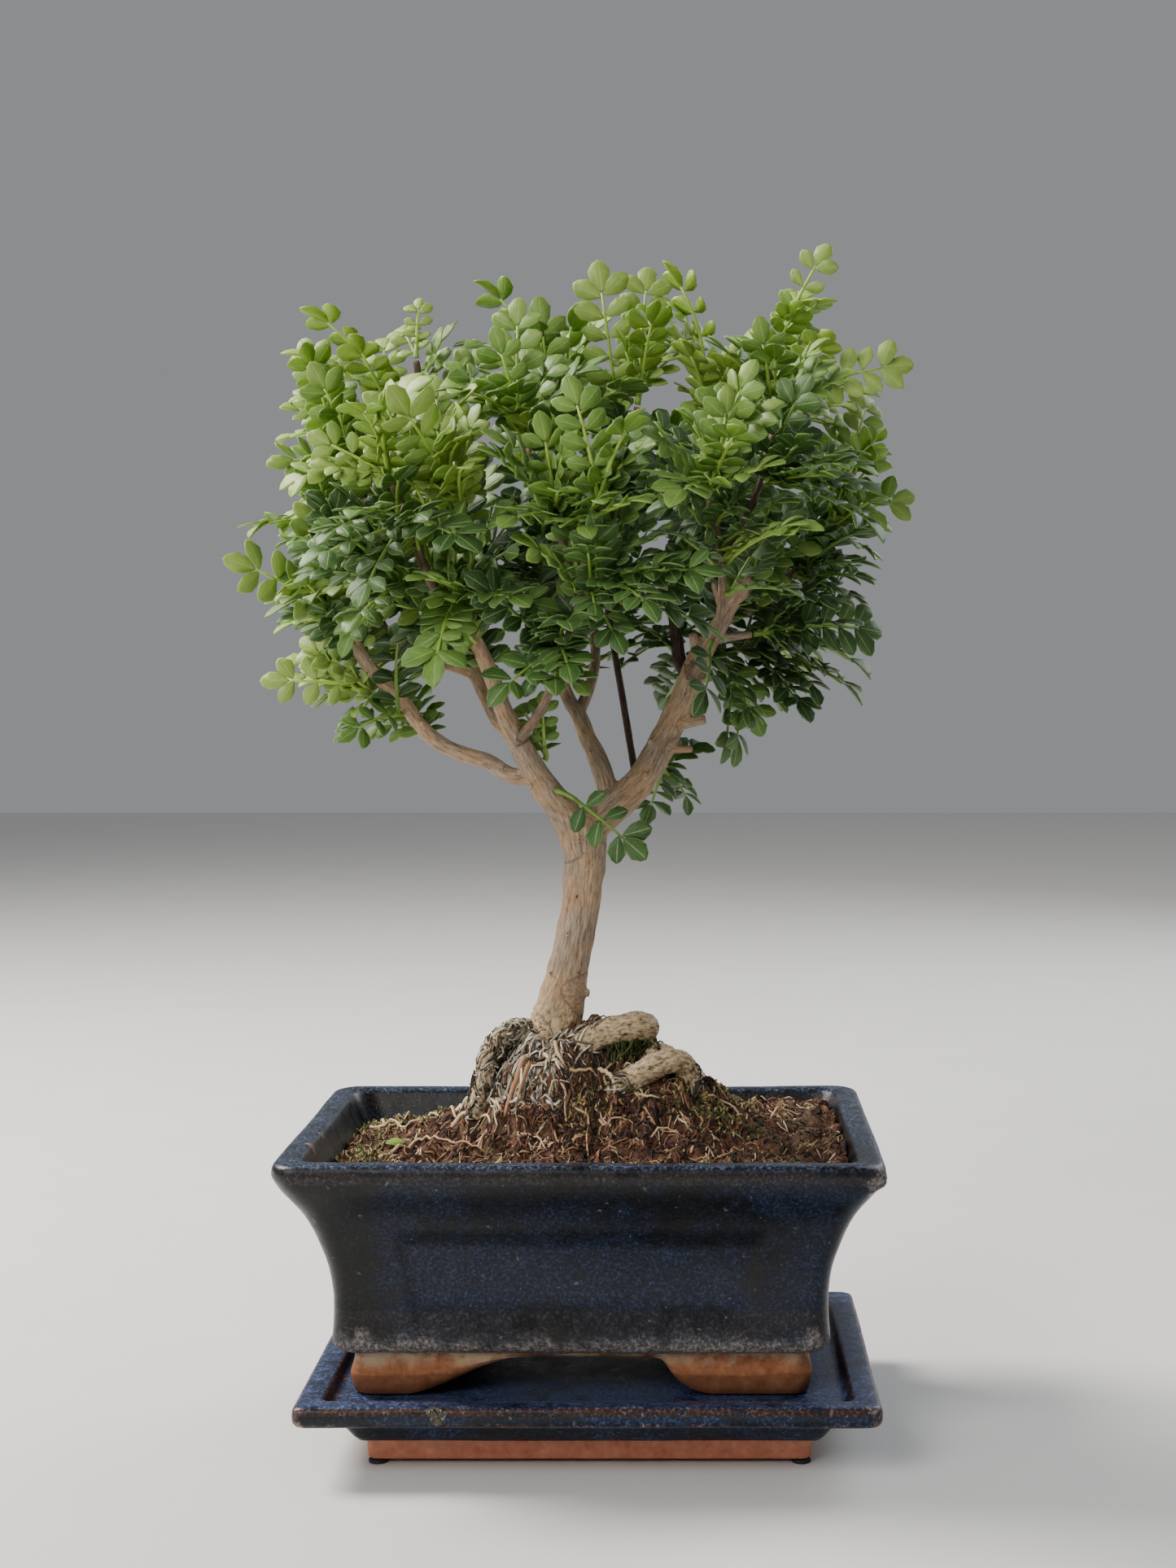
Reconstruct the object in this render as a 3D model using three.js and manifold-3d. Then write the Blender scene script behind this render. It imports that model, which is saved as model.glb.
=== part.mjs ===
import * as THREE from 'three';
import { mergeVertices } from 'three/addons/utils/BufferGeometryUtils.js';
import Module from 'manifold-3d';

// Japanese pepper bonsai in a glazed pot with a drip tray, in millimetres, +Z up, pot front towards -Y.
// The origin is under the middle of the pot, on the surface that the tray stands on.

const POT_WIDTH = 155;
const POT_DEPTH = 120;
const POT_RIM_TOP = 79.2;
const POT_CORNER = 4.5;
const POT_FOOT_BOTTOM = 16.8;
const POT_FLOOR_UNDER = 27.2;
const POT_FLOOR_TOP = 33;
const FOOT_WALL = 13;
const DRAIN_RADIUS = 5.5;
const DRAIN_SPACING = 56;
const PANEL_DEPTH = 1;
const PANEL_BEVEL = 2;
const PANEL_BOTTOM = 40;
const PANEL_TOP = 58;
const FRONT_PANEL_HALVES = [41.5, 45.3];
const SIDE_PANEL_HALVES = [25, 28];

const TRAY_WIDTH = 147.5;
const TRAY_DEPTH = 115;
const TRAY_CENTRE = new THREE.Vector2(2.3, -4);
const TRAY_CORNER = 3.5;
const TRAY_FLOOR_TOP = 16.5;
const TRAY_RING_MIDDLE = 19.6;
const PAD_RADIUS = 2.6;
const PAD_HEIGHT = 1;

const CLEARANCE = 0.3;
const CORNER_STEPS = 2;
const LEAF_THICKNESS = 0.7;
const STEM_RADIUS = 0.85;
const STEM_SEAT = 0.7;
const RACHIS_HALF_WIDTH = 0.6;
const CANOPY_CENTRE = new THREE.Vector3(0, 0, 232);

const V = (x, y, z) => new THREE.Vector3(x, y, z);
const wasm = await Module();
wasm.setup();

// Solids

function solid(points, triangles) {
  const vertProperties = new Float32Array(points.length * 3);
  points.forEach((point, i) => point.toArray(vertProperties, 3 * i));
  const triVerts = Uint32Array.from(triangles);
  return new wasm.Manifold(new wasm.Mesh({ numProp: 3, vertProperties, triVerts }));
}

function solidFrom(geometry) {
  geometry.deleteAttribute('normal');
  geometry.deleteAttribute('uv');
  const merged = mergeVertices(geometry, 1e-4);
  return new wasm.Manifold(new wasm.Mesh({
    numProp: 3,
    vertProperties: merged.attributes.position.array,
    triVerts: Uint32Array.from(merged.index.array),
  }));
}

function largestBody(joined) {
  const bodies = joined.decompose();
  return bodies.reduce((best, body) => (body.volume() > best.volume() ? body : best));
}

// Closes a stack of convex rings, each turning counter-clockwise about the way the stack runs.
function loft(rings) {
  const count = rings[0].length;
  const triangles = [];
  for (let i = 1; i < rings.length; i++) {
    for (let j = 0; j < count; j++) {
      const next = (j + 1) % count;
      const lower = (i - 1) * count;
      const upper = i * count;
      triangles.push(lower + j, lower + next, upper + next);
      triangles.push(lower + j, upper + next, upper + j);
    }
  }
  const last = (rings.length - 1) * count;
  for (let j = 1; j < count - 1; j++) {
    triangles.push(0, j + 1, j);
    triangles.push(last, last + j, last + j + 1);
  }
  return solid(rings.flat(), triangles);
}

function roundedRing(halfX, halfY, radius, z, centre) {
  const corners = [[1, -1], [1, 1], [-1, 1], [-1, -1]];
  return corners.flatMap(([sideX, sideY], k) => {
    const points = [];
    for (let step = 0; step <= CORNER_STEPS; step++) {
      const angle = (k - 1 + step / CORNER_STEPS) * Math.PI / 2;
      const x = centre.x + sideX * (halfX - radius) + radius * Math.cos(angle);
      const y = centre.y + sideY * (halfY - radius) + radius * Math.sin(angle);
      points.push(V(x, y, z));
    }
    return points;
  });
}

// A profile is a list of [inset from the outline, height], followed up the outside and down the inside.
function rectangularLoft(width, depth, corner, centre, profile) {
  return loft(profile.map(([inset, z]) => roundedRing(
    width / 2 - inset, depth / 2 - inset, Math.max(corner - inset * 0.08, 1), z, centre)));
}

// A flat outline in X and Z, carried along Y from -reach to +reach.
function prismAlongY(outline, reach) {
  const shape = new THREE.Shape(outline.map(([x, z]) => new THREE.Vector2(x, z)));
  const geometry = new THREE.ExtrudeGeometry(shape, { depth: 2 * reach, bevelEnabled: false });
  geometry.rotateX(Math.PI / 2);
  geometry.translate(0, reach, 0);
  return solidFrom(geometry);
}

// Pot

const POT_OUTSIDE = [
  [19, POT_FOOT_BOTTOM], [17.8, 21.8], [18.8, 25.8], [18.4, 27.2], [14.6, 29.2], [13.5, 30.6],
  [13.9, 36], [13.9, 43], [12.9, 50], [11.4, 55], [9.6, 60], [7.4, 64.5], [4.8, 68.2], [2.2, 71.8],
  [0.9, 74.2], [0, 76], [0.2, 78], [1.2, POT_RIM_TOP],
];
const POT_INSIDE = [
  [6.4, POT_RIM_TOP], [7.3, 77.6], [11.5, 68], [15, 60], [18.4, 50], [19.4, 40], [20.4, POT_FLOOR_TOP],
];

function potWallInset(z) {
  const above = POT_OUTSIDE.findIndex((level) => level[1] >= z);
  const [lowInset, lowZ] = POT_OUTSIDE[above - 1];
  const [highInset, highZ] = POT_OUTSIDE[above];
  return lowInset + (highInset - lowInset) * (z - lowZ) / (highZ - lowZ);
}

// The sunk panel of one wall: it keeps one depth below the hollow curve of the wall.
function panelCut(wallHalf, [halfBottom, halfTop], angle) {
  const outside = wallHalf + 10;
  const proud = 0.05;
  const sunkLevels = [PANEL_BOTTOM, 43, 50, 55, PANEL_TOP];
  const levels = [PANEL_BOTTOM - PANEL_BEVEL, ...sunkLevels, PANEL_TOP + PANEL_BEVEL];
  const rings = levels.map((z) => {
    const half = THREE.MathUtils.mapLinear(z, PANEL_BOTTOM, PANEL_TOP, halfBottom, halfTop);
    const edge = half + PANEL_BEVEL;
    const wall = -(wallHalf - potWallInset(z));
    const floor = wall + (sunkLevels.includes(z) ? PANEL_DEPTH : -proud);
    return [
      V(-edge, -outside, z), V(edge, -outside, z), V(edge, wall - proud, z),
      V(half, floor, z), V(-half, floor, z), V(-edge, wall - proud, z),
    ].map((point) => point.applyAxisAngle(V(0, 0, 1), angle));
  });
  return loft(rings);
}

// The arch between the front feet, as thrown by hand: a long ogee on the left and a short one on the right.
const FRONT_ARCH = [
  [-44, 10], [-44, POT_FOOT_BOTTOM], [-40, 17.8], [-33, 20.6], [-25.8, 23.8], [-19, 26], [-12, 26.8],
  [17, 26.8], [21, 25.8], [22.4, 23.6], [25, 20.4], [29, 17.9], [33, POT_FOOT_BOTTOM], [33, 10],
];
const SIDE_ARCH = [
  [-24, 10], [-24, POT_FOOT_BOTTOM], [-20, 18.4], [-15, 23], [-10, 26.4], [10, 26.4], [15, 23], [20, 18.4],
  [24, POT_FOOT_BOTTOM], [24, 10],
];

function makePot() {
  const middle = new THREE.Vector2(0, 0);
  let pot = rectangularLoft(POT_WIDTH, POT_DEPTH, POT_CORNER, middle, [...POT_OUTSIDE, ...POT_INSIDE]);
  const footInset = POT_OUTSIDE[0][0] + FOOT_WALL;
  const hollow = [[footInset, 10], [footInset, POT_FLOOR_UNDER]];
  const underside = rectangularLoft(POT_WIDTH, POT_DEPTH, 6, middle, hollow);
  const sideArch = prismAlongY(SIDE_ARCH, POT_WIDTH).rotate([0, 0, 90]);
  pot = pot.subtract(underside).subtract(prismAlongY(FRONT_ARCH, POT_DEPTH)).subtract(sideArch);
  for (const turn of [0, 2]) {
    pot = pot.subtract(panelCut(POT_DEPTH / 2, FRONT_PANEL_HALVES, turn * Math.PI / 2));
    pot = pot.subtract(panelCut(POT_WIDTH / 2, SIDE_PANEL_HALVES, (turn + 1) * Math.PI / 2));
  }
  for (const side of [-1, 1]) {
    const drain = new THREE.CylinderGeometry(DRAIN_RADIUS, DRAIN_RADIUS, 20, 12);
    drain.rotateX(Math.PI / 2);
    drain.translate(side * DRAIN_SPACING / 2, 0, POT_FLOOR_TOP - 4);
    pot = pot.subtract(solidFrom(drain));
  }
  return pot;
}

// Tray

const TRAY_PROFILE = [
  [23, 11.5], [22, PAD_HEIGHT + CLEARANCE], [17, PAD_HEIGHT + CLEARANCE], [16.8, 6.3], [14.8, 6.9],
  [12.4, 10], [9.4, 13.4], [1.4, 14.2], [0.3, 15.1], [0, 16.4], [0, 18.6], [0.9, 19.5],
  [6.6, 19.5], [7.5, 18.8], [8.6, TRAY_FLOOR_TOP],
];

function makeTray() {
  return rectangularLoft(TRAY_WIDTH, TRAY_DEPTH, TRAY_CORNER, TRAY_CENTRE, TRAY_PROFILE);
}

function makePad(sideX, sideY) {
  const pad = new THREE.CylinderGeometry(PAD_RADIUS, PAD_RADIUS, PAD_HEIGHT, 10);
  pad.rotateX(Math.PI / 2);
  pad.translate(
    TRAY_CENTRE.x + sideX * (TRAY_WIDTH / 2 - TRAY_RING_MIDDLE),
    TRAY_CENTRE.y + sideY * (TRAY_DEPTH / 2 - TRAY_RING_MIDDLE),
    PAD_HEIGHT / 2);
  return solidFrom(pad);
}

// Wood: each limb is a list of [x, y, z, radius] along its middle.

const LIMBS = {
  trunk: { sides: 10, inSoil: true, points: [
    [-13, 2, 82, 9.2], [-11.5, 2, 93, 8.4], [-9.8, 2, 102, 7.4], [-7.7, 1, 110.5, 6.6],
    [-6, 0.5, 118, 5.7], [-4.3, 0, 126, 5.2], [-2.6, 0, 135, 5.1], [-1.3, 0, 145, 5.3],
    [-0.7, 0, 153, 5.7], [-0.8, 0, 160, 5.8], [-1, 0, 164, 4.6]] },
  leftLimb: { sides: 7, points: [
    [-1.6, 0, 152, 4.3], [-5.6, -1.2, 163, 4.2], [-10.5, -4, 169.7, 3.8], [-14.5, -7, 176.4, 3.4],
    [-18.3, -10, 183.8, 2.9], [-21.3, -13, 190.4, 2.5], [-25.6, -19, 203.3, 2.1],
    [-29.9, -24, 213.5, 1.8]] },
  frontLeftTwig: { sides: 5, points: [
    [-29.6, -23.5, 212.5, 1.5], [-34, -29, 217, 1.4], [-39.7, -37, 227.3, 1.3], [-43.3, -44, 239, 1.2],
    [-47, -50, 249.8, 1]] },
  frontTwig: { sides: 5, points: [
    [-29.6, -23.5, 212.5, 1.5], [-30.4, -28, 221.3, 1.3], [-29.1, -33, 232, 1.1], [-30, -38, 241, 0.9]] },
  backLeftLimb: { sides: 5, points: [
    [-17.5, -9, 182.5, 2], [-24.9, 4, 189.5, 2.1], [-31.8, 14, 201.8, 2], [-38.1, 20, 217.7, 1.6],
    [-44, 22, 243, 1.3], [-47.5, 22, 268.4, 1.1], [-49.1, 20, 290.5, 1]] },
  lowLimb: { sides: 5, points: [
    [-12.5, -6, 174, 2.3], [-20.4, -5, 174.4, 2.2], [-27, -3, 178, 2.1], [-34.8, 0, 180.2, 2.1],
    [-41.5, 2, 183.5, 2.1], [-47.5, 4, 189.3, 2], [-52.5, 5, 196, 2], [-58.2, 4, 201.6, 1.9],
    [-62.9, 2, 208.3, 1.9], [-65.5, 0, 214.1, 1.8]] },
  upperLeftLimb: { sides: 5, points: [
    [-32, 14, 202, 1.8], [-38.5, 15, 204.5, 1.8], [-47.7, 15, 207.5, 1.8], [-56.6, 18, 212.8, 1.8],
    [-66.3, 20, 220.5, 1.7]] },
  darkLeftTwig: { sides: 4, points: [[-46, 15, 207, 1.2], [-50, 17, 215.3, 1.1], [-55.5, 18, 225, 0.9]] },
  uprightLeftTwig: { sides: 5, points: [
    [-57, 18, 213, 1.3], [-60.1, 18, 220.9, 1.2], [-60.5, 18, 237.6, 1.1], [-60.5, 16, 263.9, 0.9]] },
  cornerTwig: { sides: 5, points: [
    [-65.8, 20, 220, 1.3], [-64.8, 24, 243, 1.2], [-65.2, 24, 267.9, 1.1], [-68.7, 24, 275.6, 1.1]] },
  middleLimb: { sides: 5, points: [
    [3, 1, 162, 2.9], [5.2, 3, 168, 2.9], [4.7, 4, 172.7, 2.8], [2.1, 8, 179.3, 2.6],
    [-0.5, 11, 184.2, 2.4], [-3.1, 14, 190.7, 2.2], [-6.7, 17, 196.5, 1.9], [-12, 22, 215.5, 1.5],
    [-13, 26, 235, 1.2], [-10, 28, 256, 1], [-7, 28, 276, 0.9]] },
  middleBackLimb: { sides: 5, points: [
    [-3.1, 14, 190.7, 1.8], [1, 30, 206, 1.5], [-2, 44, 226, 1.3], [-6, 52, 250, 1.1],
    [-8, 56, 268, 0.9]] },
  rightLimb: { sides: 7, points: [
    [-1.2, 0, 153, 4.4], [0.5, 0.3, 159, 4.6], [5.4, 1, 164.3, 4.5], [11.5, 2, 169.6, 4.3],
    [15.8, 3, 174.6, 4.1], [19.8, 4, 181.9, 3.9], [22.9, 5, 188.4, 3.7], [26.3, 5, 195.1, 3.6],
    [28.7, 5, 201.6, 3.5], [30.7, 5, 206.8, 3.2], [33.6, 4, 211.5, 2.6], [36.3, 3, 215.7, 2.4],
    [39.4, 2, 221.5, 2.3], [45.2, 0, 228.1, 2.2]] },
  darkRightLimb: { sides: 5, points: [
    [27.5, 6, 201, 2], [24.9, 12, 207, 1.9], [23.9, 16, 218, 1.8], [24.2, 18, 226.4, 1.8],
    [27.4, 20, 243, 1.6], [35.5, 24, 264, 1.3], [41, 24, 275, 1.1], [46.3, 24, 281, 1],
    [51.6, 24, 292.6, 0.9]] },
  darkThinTwig: { sides: 4, points: [
    [13.4, 4, 171, 1], [11.4, 14, 181.6, 1], [8.7, 22, 196.6, 1], [4.8, 30, 218.2, 0.9],
    [3.2, 34, 232, 0.9], [5, 36, 246.3, 0.8]] },
  rightTwig: { sides: 5, points: [
    [36.3, 3, 215.7, 1.4], [48, 14, 222, 1.3], [58, 24, 232, 1.1], [66, 30, 245, 1], [70, 33, 258, 0.9]] },
  lowRightTwig: { sides: 5, points: [
    [30.5, 5, 205.5, 1.4], [38, 22, 208, 1.2], [48, 36, 211, 1], [58, 46, 214, 0.9]] },
  frontRightTwig: { sides: 5, points: [
    [28.7, 5, 201.6, 1.5], [33, -10, 208, 1.3], [36, -24, 218, 1.2], [36, -36, 232, 1],
    [33, -44, 246, 0.9]] },
  frontMiddleTwig: { sides: 5, points: [
    [-18.3, -10, 183.8, 1.5], [-11, -24, 193, 1.3], [-5, -38, 206, 1.2], [0, -50, 220, 1],
    [2, -58, 236, 0.9]] },
  backLeftTwig: { sides: 5, points: [
    [-38.5, 15, 204.5, 1.3], [-44, 30, 214, 1.1], [-50, 44, 229, 1], [-55, 54, 246, 0.9]] },
  backRightTwig: { sides: 5, points: [
    [24.2, 18, 226.4, 1.3], [28, 36, 238, 1.1], [34, 50, 252, 1], [40, 58, 266, 0.9]] },
  backTwig: { sides: 4, points: [[-2, 44, 226, 1.1], [6, 58, 238, 1], [14, 66, 252, 0.9]] },
  crownTwig: { sides: 4, points: [[5, 36, 246, 0.9], [10, 30, 262, 0.9], [13, 26, 278, 0.9]] },
  frontCrownTwig: { sides: 4, points: [[0, -50, 220, 1], [-6, -44, 240, 1], [-14, -36, 260, 0.9]] },
  rightFrontCrownTwig: { sides: 4, points: [
    [36, -36, 232, 1], [45, -30, 248, 0.9], [50, -20, 266, 0.9]] },
  trunkNub: { sides: 4, points: [[-5, 0, 116.5, 1.6], [0.6, -1, 114.6, 1]] },
  leftStub: { sides: 4, points: [[-23, -15, 196, 1.2], [-19.8, -15, 198.6, 1.1]] },
  rightStubLow: { sides: 5, points: [[21, 4, 181.5, 1.5], [28.8, 4, 181.3, 1]] },
  rightStubMiddle: { sides: 5, points: [[24, 5, 188, 1.8], [32.4, 5, 189.4, 1.3]] },
  rightStubHigh: { sides: 5, points: [[30.2, 5, 205.5, 1.6], [28.7, 3, 213.2, 1.2]] },
  rightStubTip: { sides: 5, points: [[37, 3, 219, 1.2], [34.4, 2, 227.2, 0.9]] },
  rightStubSide: { sides: 5, points: [[34, 4, 211.5, 1.5], [45, 8, 213, 1.1]] },
  upperLoopRoot: { sides: 6, inSoil: true, points: [
    [-9, -5, 92, 3.4], [-3, -7.5, 99.6, 3.4], [3.2, -8, 104, 3.4], [9.6, -8, 106, 3.4],
    [14.2, -6, 106.4, 3.3], [16, -1, 105, 3], [13, 4, 104.6, 2.7], [6, 6, 104.8, 2.5], [-4, 5, 103, 2.5]] },
  lowerLoopRoot: { sides: 6, inSoil: true, points: [
    [-7, -5, 84, 3.2], [4, -13, 87.5, 3.2], [11.9, -14.5, 93, 3.2], [17.8, -15.5, 96.6, 3.2],
    [22.8, -15.5, 98.6, 3.2], [26.6, -13, 97, 3.1], [28.4, -11, 91, 3], [28.8, -10, 82, 2.8]] },
  backLoopRoot: { sides: 6, inSoil: true, points: [
    [-6, 0, 88, 2.4], [4, -2, 92.5, 2.4], [13.9, -4, 98, 2.4], [20.7, -6.5, 99.4, 2.4],
    [24, -12, 98, 2.4]] },
  leftRoot: { sides: 6, inSoil: true, points: [
    [-13, 0, 103, 2.8], [-19.5, -2, 104.2, 2.7], [-24, -4.5, 102, 2.6], [-26.4, -7.5, 97.5, 2.6],
    [-28, -10, 91, 2.6], [-29.4, -12, 82, 2.4]] },
};
const STEPS_PER_SPAN = 1;

// Catmull-Rom curve through [x, y, z, radius] points, ends repeated.
function smoothRoute(points, steps) {
  const at = (i) => points[THREE.MathUtils.clamp(i, 0, points.length - 1)];
  const route = [];
  for (let i = 0; i < points.length - 1; i++) {
    for (let step = 0; step < steps; step++) {
      const t = step / steps;
      route.push(at(i).map((value, axis) => {
        const [a, b, c, d] = [at(i - 1)[axis], value, at(i + 1)[axis], at(i + 2)[axis]];
        const square = 2 * a - 5 * b + 4 * c - d;
        const cube = 3 * b - a - 3 * c + d;
        return 0.5 * (2 * b + (c - a) * t + square * t * t + cube * t * t * t);
      }));
    }
  }
  route.push(at(points.length - 1).slice());
  return route;
}

function tube(route, sides) {
  const middles = route.map(([x, y, z]) => V(x, y, z));
  const tangents = middles.map((point, i) => {
    const before = middles[Math.max(i - 1, 0)];
    const after = middles[Math.min(i + 1, middles.length - 1)];
    return after.clone().sub(before).normalize();
  });
  let across = Math.abs(tangents[0].x) < 0.8 ? V(1, 0, 0) : V(0, 1, 0);
  const rings = middles.map((middle, i) => {
    across = across.clone().addScaledVector(tangents[i], -across.dot(tangents[i])).normalize();
    const third = tangents[i].clone().cross(across);
    return Array.from({ length: sides }, (_, j) => {
      const angle = 2 * Math.PI * j / sides;
      const offset = across.clone().multiplyScalar(Math.cos(angle)).addScaledVector(third, Math.sin(angle));
      return middle.clone().addScaledVector(offset, route[i][3]);
    });
  });
  return loft(rings);
}

const limbRoutes = Object.fromEntries(
  Object.entries(LIMBS).map(([name, limb]) => [name, smoothRoute(limb.points, STEPS_PER_SPAN)]));

function makeWood() {
  const tubes = Object.entries(LIMBS).map(([name, limb]) => tube(limbRoutes[name], limb.sides));
  return wasm.Manifold.union(tubes);
}

// Soil: a mound round the roots, lower along the left wall of the pot than along the right.

function soilHeight(x, y) {
  const slope = 71.5 + 0.045 * x;
  const waves = 0.9 * Math.sin(0.16 * x + 1.2) * Math.cos(0.13 * y) + 0.6 * Math.sin(0.4 * x - 0.3 * y);
  const bump = (centreX, centreY, spreadX, spreadY, top, power) => {
    const reach = ((x - centreX) / spreadX) ** 2 + ((y - centreY) / spreadY) ** 2;
    return top / (1 + reach ** power);
  };
  const mound = bump(-9, 0, 21, 19, 29, 2.2);
  const shoulder = bump(17, -3, 21, 18, 20, 1.8);
  const skirt = bump(2, -2, 46, 38, 11, 1.6);
  const lumps = 1.2 * Math.sin(0.55 * x + 0.4 * y) * Math.cos(0.47 * y - 0.2 * x);
  return slope + waves + Math.hypot(mound, shoulder) * 0.9 + skirt * 0.5 + lumps;
}

// The end of a route, carried on by the clearance.
function movedOn(before, end) {
  const onward = V(...end).sub(V(...before)).setLength(CLEARANCE).add(V(...end));
  return [onward.x, onward.y, onward.z, end[3]];
}

function makeSoil() {
  const [cellsX, cellsY] = [13, 10];
  const [halfX, halfY] = [72, 56];
  const bottom = 20;
  const spread = (share) => Math.sign(share) * Math.abs(share) ** 1.25;
  const points = [];
  for (let j = 0; j <= cellsY; j++) {
    for (let i = 0; i <= cellsX; i++) {
      const x = halfX * spread(2 * i / cellsX - 1);
      const y = halfY * spread(2 * j / cellsY - 1);
      points.push(V(x, y, soilHeight(x, y)));
    }
  }
  const triangles = [];
  const row = cellsX + 1;
  for (let j = 0; j < cellsY; j++) {
    for (let i = 0; i < cellsX; i++) {
      const a = j * row + i;
      triangles.push(a, a + 1, a + row + 1, a, a + row + 1, a + row);
    }
  }
  const edge = [];
  for (let i = 0; i < cellsX; i++) edge.push(i);
  for (let j = 0; j < cellsY; j++) edge.push(j * row + cellsX);
  for (let i = cellsX; i > 0; i--) edge.push(cellsY * row + i);
  for (let j = cellsY; j > 0; j--) edge.push(j * row);
  const firstLow = points.length;
  edge.forEach((index) => points.push(V(points[index].x, points[index].y, bottom)));
  const centre = points.length;
  points.push(V(0, 0, bottom));
  edge.forEach((index, k) => {
    const next = (k + 1) % edge.length;
    triangles.push(firstLow + k, firstLow + next, edge[next]);
    triangles.push(firstLow + k, edge[next], index);
    triangles.push(centre, firstLow + next, firstLow + k);
  });
  const block = solid(points, triangles);
  const walls = [...POT_INSIDE].reverse().map(([inset, z]) => [inset + CLEARANCE, z]);
  walls[0][1] += CLEARANCE;
  walls.push([POT_INSIDE[0][0] + CLEARANCE, 140]);
  const filling = rectangularLoft(POT_WIDTH, POT_DEPTH, POT_CORNER, new THREE.Vector2(0, 0), walls);
  const holes = Object.entries(LIMBS).filter(([, limb]) => limb.inSoil).map(([name, limb]) => {
    const route = limbRoutes[name].map(([x, y, z, radius]) => [x, y, z, radius + CLEARANCE + 0.05]);
    const last = route.length - 1;
    const ends = [movedOn(route[1], route[0]), movedOn(route[last - 1], route[last])];
    return tube([ends[0], ...route.slice(1, -1), ends[1]], limb.sides);
  });
  return largestBody(block.intersect(filling).subtract(wasm.Manifold.union(holes)));
}

// Leaves: a compound leaf is one thin arched blade, cut to its rib into paired leaflets and one at the tip.

// Outline of a leaflet from its near edge round the tip, as [share of its length, share of its width].
const LEAFLET_OUTLINE = [[0.4, -0.3], [0.97, -0.2], [0.74, 0.34]];

function leafFrame(leaf) {
  const chord = leaf.tip.clone().sub(leaf.base);
  const length = chord.length();
  const forward = chord.clone().normalize();
  const up = leaf.up.clone().addScaledVector(forward, -leaf.up.dot(forward)).normalize();
  const right = forward.clone().cross(up);
  return { length, forward, up, right };
}

function leafPoint(leaf, frame, along, across, lift) {
  const share = THREE.MathUtils.clamp(along / frame.length, 0, 1);
  const rise = 4 * leaf.arch * frame.length * share * (1 - share) - Math.abs(across) * leaf.fold + lift;
  return leaf.base.clone()
    .addScaledVector(frame.forward, along)
    .addScaledVector(frame.right, across)
    .addScaledVector(frame.up, rise);
}

function leafletPairs(leaf, frame) {
  const endLeaflet = leaf.leaflet * 0.95;
  const rib = frame.length - endLeaflet;
  const first = leaf.bare;
  return Array.from({ length: leaf.pairs }, (_, i) => {
    const share = leaf.pairs > 1 ? i / (leaf.pairs - 1) : 1;
    const along = first + (rib - 1 - first) * share;
    return { along, length: leaf.leaflet * (0.86 + 0.12 * share), lean: 1.2 - 0.22 * share };
  });
}

function makeLeaf(leaf) {
  const frame = leafFrame(leaf);
  const points = [];
  const faces = [];
  const outlineRight = [];
  const outlineLeft = [];
  const add = (along, across) => points.push([along, across]) - 1;
  const half = RACHIS_HALF_WIDTH;
  const baseEdge = 0.7;
  const leafletPoints = (start, side, size, lean, widthShare) => LEAFLET_OUTLINE.map(([u, w]) => {
    const reach = u * size;
    const sideways = w * size * widthShare;
    const along = start + reach * Math.cos(lean) + sideways * Math.sin(lean);
    const across = side * (half + reach * Math.sin(lean) - sideways * Math.cos(lean));
    return add(along, across);
  });
  let right = add(0, half * 0.6);
  let left = add(0, -half * 0.6);
  outlineRight.push(right);
  outlineLeft.push(left);
  const step = (along) => {
    const nextRight = add(along, half);
    const nextLeft = add(along, -half);
    faces.push([right, nextRight, nextLeft], [right, nextLeft, left]);
    [right, left] = [nextRight, nextLeft];
  };
  leafletPairs(leaf, frame).forEach((pair) => {
    step(pair.along - baseEdge);
    const [nearRight, nearLeft] = [right, left];
    step(pair.along + baseEdge);
    const halves = [[nearRight, right, 1, outlineRight], [nearLeft, left, -1, outlineLeft]];
    for (const [near, far, side, outline] of halves) {
      const round = leafletPoints(pair.along, side, pair.length, pair.lean, leaf.wide);
      const ring = [near, ...round, far];
      for (let k = 1; k < ring.length - 1; k++) {
        faces.push(side > 0 ? [near, ring[k], ring[k + 1]] : [near, ring[k + 1], ring[k]]);
      }
      outline.push(...ring);
    }
  });
  const end = points[right][0];
  const size = frame.length - end;
  const tipShape = [[0.46, 0.32], [0.95, 0.2], [0.95, -0.2], [0.46, -0.32]];
  const tip = tipShape.map(([u, w]) => add(end + u * size, w * size * leaf.wide));
  const ring = [right, ...tip, left];
  for (let k = 1; k < ring.length - 1; k++) faces.push([right, ring[k], ring[k + 1]]);
  const outline = [...outlineRight, ...tip, ...outlineLeft.reverse()];
  const count = points.length;
  const place = (lift) => points.map(([along, across]) => leafPoint(leaf, frame, along, across, lift));
  const placed = [...place(LEAF_THICKNESS / 2), ...place(-LEAF_THICKNESS / 2)];
  const triangles = faces.flatMap(([a, b, c]) => [a, b, c, count + a, count + c, count + b]);
  outline.forEach((from, k) => {
    const to = outline[(k + 1) % outline.length];
    triangles.push(count + from, count + to, to, count + from, to, from);
  });
  return solid(placed, triangles);
}

// Places that a leaf fills, as seen by its neighbours: the middle and the tip of each leaflet, and its rib.
function leafSpots(leaf) {
  const frame = leafFrame(leaf);
  const spots = [];
  leafletPairs(leaf, frame).forEach((pair) => {
    for (const side of [-1, 1]) {
      for (const share of [0.45, 0.9]) {
        const reach = share * pair.length;
        const across = side * (RACHIS_HALF_WIDTH + reach * Math.sin(pair.lean));
        spots.push(leafPoint(leaf, frame, pair.along + reach * Math.cos(pair.lean), across, 0));
      }
    }
  });
  for (const share of [0.35, 0.6, 0.84, 1]) spots.push(leafPoint(leaf, frame, frame.length * share, 0, 0));
  return spots;
}

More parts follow.
